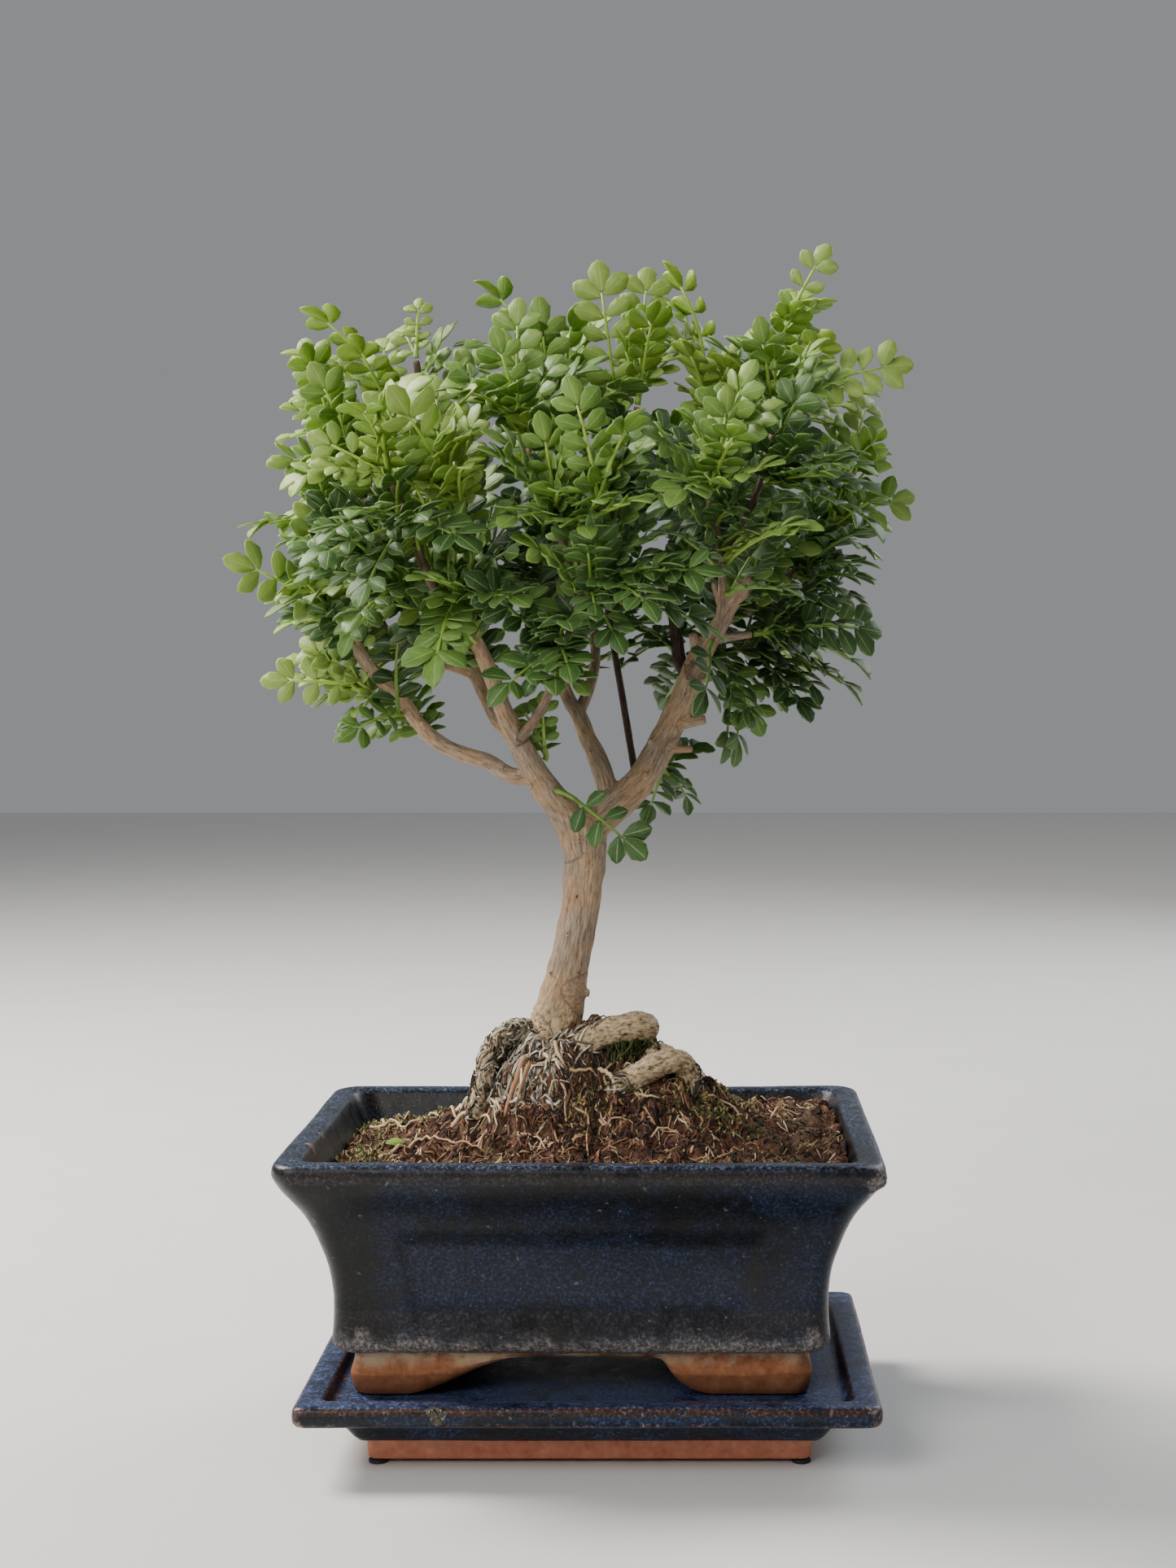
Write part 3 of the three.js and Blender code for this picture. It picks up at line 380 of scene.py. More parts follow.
# Red peat with olive patches, and grey on the mound
def soilMaterial():
    nodes = Nodes("peat", 0.95)
    crumb = nodes.noise(0.9, 5, 0.7)
    red, olive, grey = [crumb.ramp(peatColours[name]) for name in ("red", "olive", "grey")]
    colour = nodes.mixed(nodes.noise(0.07, 3).between(0.5, 0.66), red, olive)
    colour = nodes.mixed(nodes.attribute("mound"), colour, grey)
    return nodes.finish(colour, crumb, 0.9, 0.9)


# Loose bits and fibres: the tint attribute runs through the given colours
def fibreMaterial(name, stops, roughness):
    nodes = Nodes(name, roughness)
    tint = nodes.attribute("tint") + (nodes.noise(1.4, 3) - 0.5) * 0.35
    return nodes.finish(tint.ramp(stops), nodes.noise(3.2, 2), 0.5, 0.12)


barkColours = {
    "tan": [(0.3, (0.15, 0.085, 0.045)), (0.45, (0.36, 0.225, 0.125)), (0.62, (0.5, 0.34, 0.205)),
            (0.8, (0.62, 0.48, 0.33))],
    "grey": [(0.3, (0.13, 0.09, 0.06)), (0.5, (0.32, 0.235, 0.16)), (0.75, (0.5, 0.41, 0.31))],
    "fleck": (0.6, 0.52, 0.42),
    "pit": (0.03, 0.018, 0.012),
    "twig": [(0.32, (0.016, 0.01, 0.008)), (0.55, (0.075, 0.04, 0.027)), (0.78, (0.2, 0.13, 0.09))],
    "ochre": [(0.36, (0.05, 0.032, 0.016)), (0.44, (0.33, 0.235, 0.125)), (0.56, (0.64, 0.48, 0.29)),
              (0.74, (0.8, 0.66, 0.46))],
    "lichen": [(0.38, (0.035, 0.038, 0.014)), (0.47, (0.25, 0.24, 0.095)), (0.75, (0.55, 0.52, 0.27))],
    "torn": [(0.35, (0.2, 0.1, 0.055)), (0.65, (0.58, 0.36, 0.22))],
}


# Bark: the grain attribute runs round each limb and along it, so that the striation follows every bend
def barkMaterial():
    nodes = Nodes("bark", 0.78)
    shades = barkColours
    along = nodes.attribute("grain", "Vector")
    striae = nodes.noise(1.7, 5, 0.65, nodes.stretched(along, (1, 1, 0.16)))
    flecks = nodes.noise(0.75, 2, 0.5, nodes.stretched(along, (1, 1, 2.2)))
    plates = nodes.noise(1.05, 5, 0.72, nodes.stretched(along, (1, 1, 0.62)))
    patches = nodes.noise(0.12, 4)
    root = nodes.attribute("root")
    tan, grey = striae.ramp(shades["tan"]), striae.ramp(shades["grey"])
    colour = nodes.mixed(patches.between(0.42, 0.62), tan, grey)
    colour = nodes.mixed(flecks.between(0.66, 0.74) * 0.55, colour, shades["fleck"])
    colour = nodes.mixed(nodes.noise(0.55, 2).between(0.71, 0.77), colour, shades["pit"])
    colour = nodes.mixed(nodes.attribute("twig"), colour, striae.ramp(shades["twig"]))
    mossy = nodes.noise(0.16, 3) * 0.7 + nodes.attribute("damp") * 0.3
    ochre, lichen = plates.ramp(shades["ochre"]), plates.ramp(shades["lichen"])
    ochre = nodes.mixed(mossy.between(0.46, 0.74), ochre, lichen)
    colour = nodes.mixed(root, colour, ochre)
    colour = nodes.mixed(nodes.attribute("cut"), colour, nodes.noise(0.9, 3).ramp(shades["torn"]))
    relief = striae * (root * -0.75 + 1) + root * plates
    return nodes.finish(colour, relief, 0.9, 0.7)


leafColours = {
    "top": [(0.0, (0.004, 0.022, 0.008)), (0.28, (0.01, 0.045, 0.012)), (0.52, (0.035, 0.11, 0.014)),
            (0.76, (0.115, 0.25, 0.022)), (1.0, (0.29, 0.45, 0.05))],
    "under": [(0.0, (0.02, 0.06, 0.02)), (0.28, (0.034, 0.095, 0.026)), (0.52, (0.075, 0.175, 0.034)),
              (0.76, (0.17, 0.32, 0.05)), (1.0, (0.35, 0.5, 0.1))],
    "stem": [(0.0, (0.04, 0.075, 0.014)), (0.45, (0.12, 0.24, 0.025)), (1.0, (0.36, 0.52, 0.08))],
    "lightThrough": (0.45, 0.62, 0.08),
    "throughShare": 0.2,
}


# Leaves: the blade's UV runs from its base to its tip (U) and from margin to margin (V)
def leafMaterial(name, stops, roughness, veinColour):
    nodes = Nodes(name, roughness)
    along, side = nodes.axes(nodes.add("UVMap", "UV"), "XY")
    across = (side - 0.5).maths("ABSOLUTE")
    sideVeins = (along * 42 - across * 34).maths("SINE").between(0.72, 1)
    fine = nodes.noise(2.2, 2)
    tint = nodes.attribute("tint") + (nodes.noise(0.3, 3) - 0.5) * 0.3
    colour = tint.ramp(stops)
    pale = nodes.mixed(0.5, colour, veinColour)
    midrib, margin = across.between(0.045, 0.02), across.between(0.43, 0.49)
    for share in (sideVeins * 0.3, midrib, margin * 0.75, fine.between(0.62, 0.75) * 0.2):
        colour = nodes.mixed(share, colour, pale)
    relief = sideVeins * -0.5 + across.between(0.08, 0) * -1.2 + fine
    material = nodes.finish(colour, relief, 0.45, 0.12)
    glow = nodes.mixed(0.35, colour, leafColours["lightThrough"])
    through = nodes.add("BsdfTranslucent", 0, {"Color": glow})
    surface = Value(nodes, nodes.shader.outputs[0])
    joined = nodes.add("MixShader", 0, {0: leafColours["throughShare"], 1: surface, 2: through})
    nodes.put(joined, nodes.tree.nodes["Material Output"].inputs["Surface"])
    return material


leafTop = leafMaterial("leafTop", leafColours["top"], 0.42, (0.36, 0.55, 0.14))
leafUnder = leafMaterial("leafUnder", leafColours["under"], 0.5, (0.45, 0.6, 0.22))
leafStem = fibreMaterial("leafStem", leafColours["stem"], 0.5)
peat = soilMaterial()
bark = barkMaterial()
print("materials ready")


# Pot and tray

potSize = {
    "width": 155,
    "depth": 120,
    "corner": 3.6,
    "segmentLength": 1.5,
    "foot": [(32, 27.2), (32, 24), (32, 20.5), (32, 17.4), (31.4, 16.8), (27, 16.8), (23, 16.8),
             (19.6, 16.8), (18.9, 17.2), (18.3, 19.2), (17.8, 21.6), (17.9, 22.2), (18.5, 24.4),
             (18.8, 26.0), (18.6, 27.1)],
    "outside": [(18.6, 27.1), (17.6, 27.9), (15.2, 28.8), (14, 29.9), (13.5, 31.5), (13.8, 36), (13.9, 43),
                (12.9, 50), (11.4, 55), (9.6, 60), (7.4, 64.5), (4.8, 68.2), (2.2, 71.6), (0.9, 73.8),
                (0.15, 75.4), (0, 76.8), (0.4, 78.3), (1.5, 79.1), (3.6, 79.2), (5.6, 79.1), (6.7, 78.4)],
    "inside": [(6.7, 78.4), (7.4, 77), (8.6, 74), (11.5, 68), (15, 60), (18.4, 50), (19.4, 40),
               (20.2, 34.6), (21.4, 33)],
    "panel": {"bottom": 40, "top": 58, "depth": 1.15, "bevel": 2, "frontHalf": (41.5, 45.3),
              "sideHalf": (25, 28)},
    "frontArch": [(-44, 16.8), (-40, 17.8), (-33, 20.6), (-25.8, 23.8), (-19, 26), (-12, 26.8), (3, 26.9),
                  (17, 26.8), (21, 25.8), (22.4, 23.6), (25, 20.4), (29, 17.9), (33, 16.8)],
    "sideArch": [(-24, 16.8), (-20, 18.4), (-15, 23), (-10, 26.4), (0, 26.5), (10, 26.4), (15, 23),
                 (20, 18.4), (24, 16.8)],
    # where the glaze has run into a knob at the rim's corner
    "knob": (76, -58.5, 74.6),
    "drainRadius": 5.5,
    "drainSpacing": 56,
    "unevenness": 0.35,
    "bareSpots": [(-70.6, -13, 78.4, 1.5), (-70.8, -29, 78.4, 1.9), (-60.5, -45, 27.5, 2)],
    "paleSpots": [(76, -58.5, 74.6, 4.2), (-55, -46.5, 30.5, 4), (-66, -50, 34, 2), (-8, -47, 29.5, 3),
                  (60, -46, 31, 3.5), (-40, -46.5, 29, 5)],
}
traySize = {
    "width": 147.5,
    "depth": 115,
    "corner": 1.8,
    "centre": (2.3, -4),
    "segmentLength": 1.4,
    "profile": [(24, 11.5), (23, 11.4), (22.6, 9), (22, 1.9), (21.6, 1.35), (19.5, 1.3), (17.6, 1.35),
                (17.1, 1.9), (16.8, 6.2), (16.4, 6.6), (14.8, 6.9), (13.6, 8.2), (12.4, 10),
                (10.8, 12.2), (9.4, 13.4), (5, 13.9), (1.6, 14.2), (0.7, 14.6), (0.2, 15.3), (0, 16.4),
                (0, 17.6), (0.15, 18.5), (0.6, 19.2), (1.3, 19.5), (4, 19.5), (6.3, 19.5), (7, 19.2),
                (7.4, 18.6), (8, 17.2), (8.8, 16.6), (10, 16.5)],
    "kilnMark": (-34.8, -61.2, 18.6),
    # the drip's blobs: x, z, half width, half height
    "drip": [(-35.6, 17.6, 1.1, 2.1), (-33.6, 17.9, 1.2, 1.8), (-34.4, 16.2, 1.3, 1.1),
             (-36.8, 18.4, 0.9, 1)],
    "dripColours": [(0.42, (0.006, 0.006, 0.006)), (0.52, (0.07, 0.055, 0.02)), (0.58, (0.02, 0.02, 0.02)),
                    (0.68, (0.75, 0.72, 0.68))],
    "unevenness": 0.22,
    "bareSpots": [(-62.6, -41, 17.6, 1.2), (-62.4, -26, 17.4, 1.6)],
    # the spot at the rim's right front corner is a painted glint; the others are the scar on the foot ring
    # and pale marks beside the drip
    "paleSpots": [(3.3, -44.6, 4, 2.6), (4.2, -44.6, 1.8, 2), (73.5, -60.5, 18.5, 1.6),
                  (-33.8, -61.4, 17.6, 1.3), (-36.2, -61.4, 18.8, 1.1)],
}


# A closed rounded rectangle carried through a profile of (inset, height), from underneath to the inside
def rectangularShell(width, depth, corner, centre, profile, segmentLength):
    bm = bmesh.new()
    inset, height = profile[0]
    halfX, halfY = width / 2 - inset, depth / 2 - inset
    place = Matrix.Translation((*centre, height)) @ Matrix.Diagonal((2 * halfX, 2 * halfY, 1, 1))
    bmesh.ops.create_grid(bm, x_segments=1, y_segments=1, size=0.5, matrix=place)
    bmesh.ops.bevel(bm, geom=bm.verts[:], offset=corner, segments=7, profile=0.5, affect="VERTICES",
                    material=-1)
    bmesh.ops.delete(bm, geom=bm.faces[:], context="FACES_ONLY")
    for axis, span in ((0, width), (1, depth)):
        long = [edge for edge in bm.edges
                if edge.calc_length() > 10 and abs(edge.verts[0].co[axis] - edge.verts[1].co[axis]) > 10]
        bmesh.ops.subdivide_edges(bm, edges=long, cuts=round(span / segmentLength))
    firstEdges = bm.edges[:]
    edges = firstEdges
    middle = Vector((*centre, 0))
    for nextInset, nextHeight in profile[1:]:
        made = bmesh.ops.extrude_edge_only(bm, edges=edges)
        ring = newVerts(made)
        edges = freeEdges(made)
        nextX, nextY = width / 2 - nextInset, depth / 2 - nextInset
        grow = Matrix.Diagonal((nextX / halfX, nextY / halfY, 1, 1))
        move = Matrix.Translation(middle + up * (nextHeight - height)) @ grow @ Matrix.Translation(-middle)
        bmesh.ops.transform(bm, matrix=move, verts=ring)
        halfX, halfY, height = nextX, nextY, nextHeight
    bmesh.ops.edgeloop_fill(bm, edges=firstEdges)
    bmesh.ops.edgeloop_fill(bm, edges=edges)
    bmesh.ops.recalc_face_normals(bm, faces=bm.faces)
    return bm


# How convex the surface is round each vertex, from 0 to 1, kept as an attribute
def markEdges(bm, name, gain):
    layer = bm.verts.layers.float.new(name)
    bm.normal_update()
    values = {}
    for vert in bm.verts:
        bends = [(vert.co - edge.other_vert(vert).co).normalized().dot(vert.normal)
                 for edge in vert.link_edges]
        values[vert] = sum(bends) / len(bends) * gain
    for vert in bm.verts:
        near = [values[edge.other_vert(vert)] for edge in vert.link_edges]
        vert[layer] = min(max(0.5 * values[vert] + 0.5 * sum(near) / len(near), 0), 1)


# Spots that are painted on the glaze: each is [x, y, z, reach], and fades out with a ragged edge
def paintSpots(bm, name, spots):
    layer = bm.verts.layers.float.new(name)
    for vert in bm.verts:
        for x, y, z, reach in spots:
            away = (vert.co - Vector((x, y, z))).length
            if away < reach * 1.6:
                ragged = away + reach * 0.5 * noise.noise(vert.co * 0.7)
                vert[layer] = max(vert[layer], smoothStep(reach, reach * 0.6, ragged))


def archHeight(points, place):
    for (x0, z0), (x1, z1) in zip(points, points[1:]):
        if x0 <= place <= x1:
            return z0 + (z1 - z0) * (place - x0) / (x1 - x0)
    return points[0][1]


def makePot():
    size = potSize
    profile = [*size["foot"][:-1], *smoothLine(size["outside"], 2)[:-1], *smoothLine(size["inside"], 2)]
    bm = rectangularShell(size["width"], size["depth"], size["corner"], (0, 0), profile,
                          size["segmentLength"])
    panel = size["panel"]
    hollow = bm.verts.layers.float.new("hollow")
    wallSplit = size["width"] / 2 - size["depth"] / 2
    footBottom, ledge = size["foot"][5][1], size["foot"][-1][1]
    frontArch, sideArch = smoothLine(size["frontArch"], 4), smoothLine(size["sideArch"], 4)
    bm.normal_update()
    outward = {vert: vert.normal.copy() for vert in bm.verts}
    knob = Vector(size["knob"])
    for vert in bm.verts:
        x, y, z = vert.co
        if z <= ledge:
            arch = max(archHeight(frontArch, x), archHeight(sideArch, y))
            vert.co.z = arch + (z - footBottom) * (ledge - arch) / (ledge - footBottom)
        alongFront = abs(y) > abs(x) - wallSplit
        axis, side = (1, y) if alongFront else (0, x)
        low, high = panel["frontHalf"] if alongFront else panel["sideHalf"]
        if outward[vert][axis] * side > 0 and panel["bottom"] - 3 < z < panel["top"] + 3:
            half = low + (high - low) * (z - panel["bottom"]) / (panel["top"] - panel["bottom"])
            inside = min(half - abs(x if alongFront else y), z - panel["bottom"], panel["top"] - z)
            share = smoothStep(-panel["bevel"], 0, inside)
            vert.co[axis] -= math.copysign(panel["depth"] * share, side)
            vert[hollow] = smoothStep(-0.5, 3, inside)
        wobble = noise.noise_vector(vert.co * 0.025) * size["unevenness"]
        wobble += noise.noise_vector(vert.co * 0.12) * 0.1
        vert.co += wobble * smoothStep(20, 30, vert.co.z)
        vert.co += outward[vert] * 2 * smoothStep(5, 0, (vert.co - knob).length)
    drains = bmesh.new()
    for side in (-1, 1):
        place = Matrix.Translation((side * size["drainSpacing"] / 2, 0, 30))
        bmesh.ops.create_cone(drains, cap_ends=True, segments=32, radius1=size["drainRadius"],
                              radius2=size["drainRadius"], depth=20, matrix=place)
    cutterMesh = bpy.data.meshes.new("drains")
    drains.to_mesh(cutterMesh)
    drains.free()
    cutter = bpy.data.objects.new("drains", cutterMesh)
    bpy.context.collection.objects.link(cutter)
    bm = withModifier(bm, "BOOLEAN", operation="DIFFERENCE", solver="EXACT", object=cutter)
    bpy.data.objects.remove(cutter)
    bpy.data.meshes.remove(cutterMesh)
    markEdges(bm, "edge", 2.6)
    paintSpots(bm, "bare", size["bareSpots"])
    paintSpots(bm, "pale", size["paleSpots"])
    finishPiece(bm, "pot_body", [potGlaze], ["pot"], 50)


def makeTray():
    size = traySize
    bm = rectangularShell(size["width"], size["depth"], size["corner"], size["centre"], size["profile"],
                          size["segmentLength"])
    bm.verts.layers.float.new("hollow")
    mark = Vector(size["kilnMark"])
    for vert in bm.verts:
        wobble = noise.noise_vector(vert.co * 0.03 + Vector((9, 0, 0))) * size["unevenness"]
        vert.co += wobble * smoothStep(2, 8, vert.co.z)
        near = smoothStep(5, 0, (vert.co - mark).length)
        vert.co.z += 0.9 * near * noise.noise(vert.co * 0.9)
        vert.co.y -= 0.7 * near * abs(noise.noise(vert.co * 0.8))
    markEdges(bm, "edge", 3.2)
    paintSpots(bm, "bare", size["bareSpots"])
    paintSpots(bm, "pale", size["paleSpots"])
    finishPiece(bm, "tray_body", [trayGlaze], ["tray"], 50)


# The dark and golden drip with pale grit that sits on the tray's front lip
def makeKilnDrip():
    nodes = Nodes("kilnDrip", 0.3)
    grit = nodes.noise(1.1, 3, 0.7)
    nodes.put(grit.ramp(traySize["dripColours"]), nodes.shader.inputs["Base Color"])
    bm = bmesh.new()
    for x, z, width, height in traySize["drip"]:
        place = Matrix.Translation((x, -61.2, z)) @ Matrix.Diagonal((width, 0.75, height, 1))
        made = bmesh.ops.create_icosphere(bm, subdivisions=3, radius=1, matrix=place)
        for vert in made["verts"]:
            vert.co += noise.noise_vector(vert.co * 1.1) * 0.4
            if vert.co.z > 19.3:
                vert.co.y += (vert.co.z - 19.3) * 1.5
                vert.co.z = 19.3 + (vert.co.z - 19.3) * 0.35
    finishPiece(bm, "kiln_drip", [nodes.material])


padSize = {"height": 1.0, "radius": 2.5, "rounding": 0.3}


# Each pad is a spun disc with a rounded rim, where the frame has it
def makePads(material):
    for node in ("pad_front_left", "pad_front_right", "pad_back_left", "pad_back_right"):
        low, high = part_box(node)
        middle = (low + high) / 2 / mm
        bm = bmesh.new()
        r, h, b = padSize["radius"], padSize["height"], padSize["rounding"]
        outline = [(0, 0), (r - b, 0), (r - 0.1, 0.1), (r, b), (r, h - b), (r - 0.1, h - 0.1), (r - b, h),
                   (0, h)]
        verts = [bm.verts.new((x, 0, z)) for x, z in outline]
        edges = [bm.edges.new(pair) for pair in zip(verts, verts[1:])]
        bmesh.ops.spin(bm, geom=edges, cent=(0, 0, 0), axis=(0, 0, 1), angle=math.tau, steps=28,
                       use_merge=True)
        bmesh.ops.remove_doubles(bm, verts=bm.verts, dist=0.001)
        bmesh.ops.recalc_face_normals(bm, faces=bm.faces)
        bmesh.ops.translate(bm, verts=bm.verts, vec=(middle.x, middle.y, 0))
        finishPiece(bm, "foot_" + node, [material], [node], 40)


makePot()
makeTray()
makeKilnDrip()
makePads(padMaterial())


# Soil, with the same mound as the solid, and its crumbs on top

soilSize = {
    "trunkFoot": (-10, 2),
    # left, right, front and back of the ground that loose bits keep to
    "bitLimits": (-68.5, 68.5, -52, 51.5),
    "cells": (190, 150),
    "wallAt": [(60, 15.4), (68, 11.9), (74, 9.0), (77, 7.8)],
    "bottom": 60,
    "corner": 4,
    # where the peat stands a little higher than the solid's: middle, reach and rise
    "rises": [(-42, 26, 24, 24, 3), (54, 34, 22, 22, 2), (-50, -20, 16, 30, 1.2)],
}


def soilHeight(x, y):
    slope = 71.5 + 0.045 * x
    waves = 0.9 * math.sin(0.16 * x + 1.2) * math.cos(0.13 * y) + 0.6 * math.sin(0.4 * x - 0.3 * y)

    def bump(centreX, centreY, spreadX, spreadY, top, power):
        reach = ((x - centreX) / spreadX) ** 2 + ((y - centreY) / spreadY) ** 2
        return top / (1 + reach ** power)
    mound = bump(-9, 0, 21, 19, 29, 2.2)
    shoulder = bump(17, -3, 21, 18, 20, 1.8)
    skirt = bump(2, -2, 46, 38, 11, 1.6)
    lumps = 1.2 * math.sin(0.55 * x + 0.4 * y) * math.cos(0.47 * y - 0.2 * x)
    return slope + waves + math.hypot(mound, shoulder) * 0.9 + skirt * 0.5 + lumps


def moundShare(x, y):
    reach = ((x + 8) / 21) ** 2 + (y / 20) ** 2
    return smoothStep(1.25, 0.55, reach)


# How far a place on the soil is from the middle of the trunk's foot
def fromTrunk(x, y):
    footX, footY = soilSize["trunkFoot"]
    return math.hypot(x - footX, y - footY)


def soilSurface(x, y):
    place = Vector((x, y, 0))
    crumbs = 0.8 * noise.noise(place * 0.3) + 0.4 * noise.noise(place * 1.7)
    large = 0.42 - noise.voronoi(place * 0.42)[0][0]
    small = 0.4 - noise.voronoi(place * 0.95)[0][0]
    crumbs += 1.5 * large + 0.6 * small
    for middleX, middleY, reachX, reachY, rise in soilSize["rises"]:
        crumbs += rise * math.exp(-((x - middleX) / reachX) ** 2 - ((y - middleY) / reachY) ** 2)
    return soilHeight(x, y) + crumbs


def wallInset(z):
    points = soilSize["wallAt"]
    for (z0, inset0), (z1, inset1) in zip(points, points[1:]):
        if z < z1:
            return inset0 + (inset1 - inset0) * (z - z0) / (z1 - z0)
    return points[-1][1]


def soilPoint(u, v):
    halfX, halfY = potSize["width"] / 2, potSize["depth"] / 2
    x, y = u * (halfX - 10), v * (halfY - 10)
    inset = wallInset(soilHeight(x, y)) + 0.35
    x, y = u * (halfX - inset), v * (halfY - inset)
    r = soilSize["corner"]
    overX, overY = abs(x) - (halfX - inset - r), abs(y) - (halfY - inset - r)
    if overX > 0 and overY > 0 and math.hypot(overX, overY) > r:
        pull = r / math.hypot(overX, overY)
        x = math.copysign(halfX - inset - r + overX * pull, x)
        y = math.copysign(halfY - inset - r + overY * pull, y)
    return Vector((x, y, soilSurface(x, y)))


def makeSoil():
    bm = bmesh.new()
    mound = bm.verts.layers.float.new("mound")
    bmesh.ops.create_grid(bm, x_segments=soilSize["cells"][0], y_segments=soilSize["cells"][1], size=1)
    for vert in bm.verts:
        vert.co = soilPoint(vert.co.x, vert.co.y)
        vert[mound] = moundShare(vert.co.x, vert.co.y)
    rim = [edge for edge in bm.edges if edge.is_boundary]
    made = bmesh.ops.extrude_edge_only(bm, edges=rim)
    for vert in newVerts(made):
        inset = soilSize["wallAt"][0][1] - wallInset(vert.co.z)
        vert.co.x -= math.copysign(inset, vert.co.x) * min(abs(vert.co.x) / 40, 1)
        vert.co.y -= math.copysign(inset, vert.co.y) * min(abs(vert.co.y) / 30, 1)
        vert.co.z = soilSize["bottom"]
    bmesh.ops.edgeloop_fill(bm, edges=freeEdges(made))
    bmesh.ops.recalc_face_normals(bm, faces=bm.faces)
    finishPiece(bm, "peat_bed", [peat], ["soil"])


makeSoil()


# The place on the soil that shows at a pixel of the photo: the camera's ray is followed down to the soil
def seenOnSoil(px, py):
    eye = Vector(photo["cameraPlace"])
    axisX, axisY = photo["axisPixel"]
    ray = Vector((px - axisX, photo["focalPixels"], axisY - py)).normalized()
    best = None
    for step in range(360):
        place = eye + ray * (590 + step * 0.35)
        gap = place.z - soilSurface(place.x, place.y)
        if best is None or gap < best[0]:
            best = gap, place
        if gap < 0:
            break
    return best[1]


bitColours = [(0.0, (0.01, 0.006, 0.005)), (0.3, (0.042, 0.018, 0.011)), (0.55, (0.13, 0.052, 0.028)),
              (0.8, (0.25, 0.125, 0.06)), (1.0, (0.6, 0.46, 0.28))]
peatLook = {
    "bits": {"count": 5200, "length": (0.6, 2.8), "radius": (0.22, 0.9), "rise": (0.02, 0.2),
             "spread": (1.4, 2.7), "colours": bitColours},
    "slopeBits": {"count": 3400, "length": (0.7, 3.6), "radius": (0.18, 0.7), "rise": (0.05, 0.4),
                  "spread": (1.3, 2.4), "colours": bitColours},
    "fibres": {"count": 1300, "length": (1.8, 8), "radius": (0.14, 0.36), "rise": (0.02, 0.25),
               "spread": (1.6, 2),
               "colours": [(0.0, (0.05, 0.026, 0.016)), (0.4, (0.24, 0.14, 0.065)),
                           (0.75, (0.46, 0.34, 0.18)), (1.0, (0.74, 0.64, 0.42))]},
    "mat": {"count": 1500, "length": (1.4, 6), "radius": (0.22, 0.62), "rise": (0.05, 0.4),
            "spread": (1.2, 1.3),
            "colours": [(0.0, (0.01, 0.009, 0.008)), (0.35, (0.08, 0.062, 0.045)),
                        (0.62, (0.33, 0.27, 0.19)), (0.85, (0.58, 0.52, 0.41)),
                        (1.0, (0.85, 0.82, 0.72))]},
    "rootlets": {"count": 210, "radius": (0.15, 0.34), "step": (0.8, 1.7),
                 "patches": [(-48, 2, 22, 40, 5), (-44, -34, 16, 14, 2), (56, 36, 14, 16, 2),
                             (22, -26, 26, 14, 2.5), (-14, -26, 18, 12, 2.5), (42, 4, 14, 22, 1.2),
                             (0, 36, 30, 14, 1.2)]},
    "rootColours": [(0.0, (0.1, 0.045, 0.025)), (0.45, (0.36, 0.18, 0.08)), (0.75, (0.55, 0.4, 0.23)),
                    (1.0, (0.78, 0.62, 0.4))],
    "mossBlades": 4400,
    "mossColours": [(0.0, (0.012, 0.024, 0.005)), (0.4, (0.07, 0.085, 0.016)), (0.75, (0.26, 0.24, 0.065)),
                    (1.0, (0.52, 0.46, 0.2))],
    # x, y, reach across, reach in depth, share of the blades
    "mossPatches": [(-30, -47, 11, 5, 3), (-12, -48, 8, 4, 2), (8, -48, 12, 4, 2.5), (30, -47, 14, 4, 2),
                    (58, -46, 9, 5, 1), (-52, 34, 20, 16, 5.5), (-60, -10, 8, 24, 3), (14, -12, 9, 7, 2.5),
                    (34, -14, 10, 8, 3), (24, 22, 14, 12, 3), (-20, 24, 12, 10, 2), (40, 8, 8, 12, 1.5),
                    (2, -20, 10, 6, 1)],
}
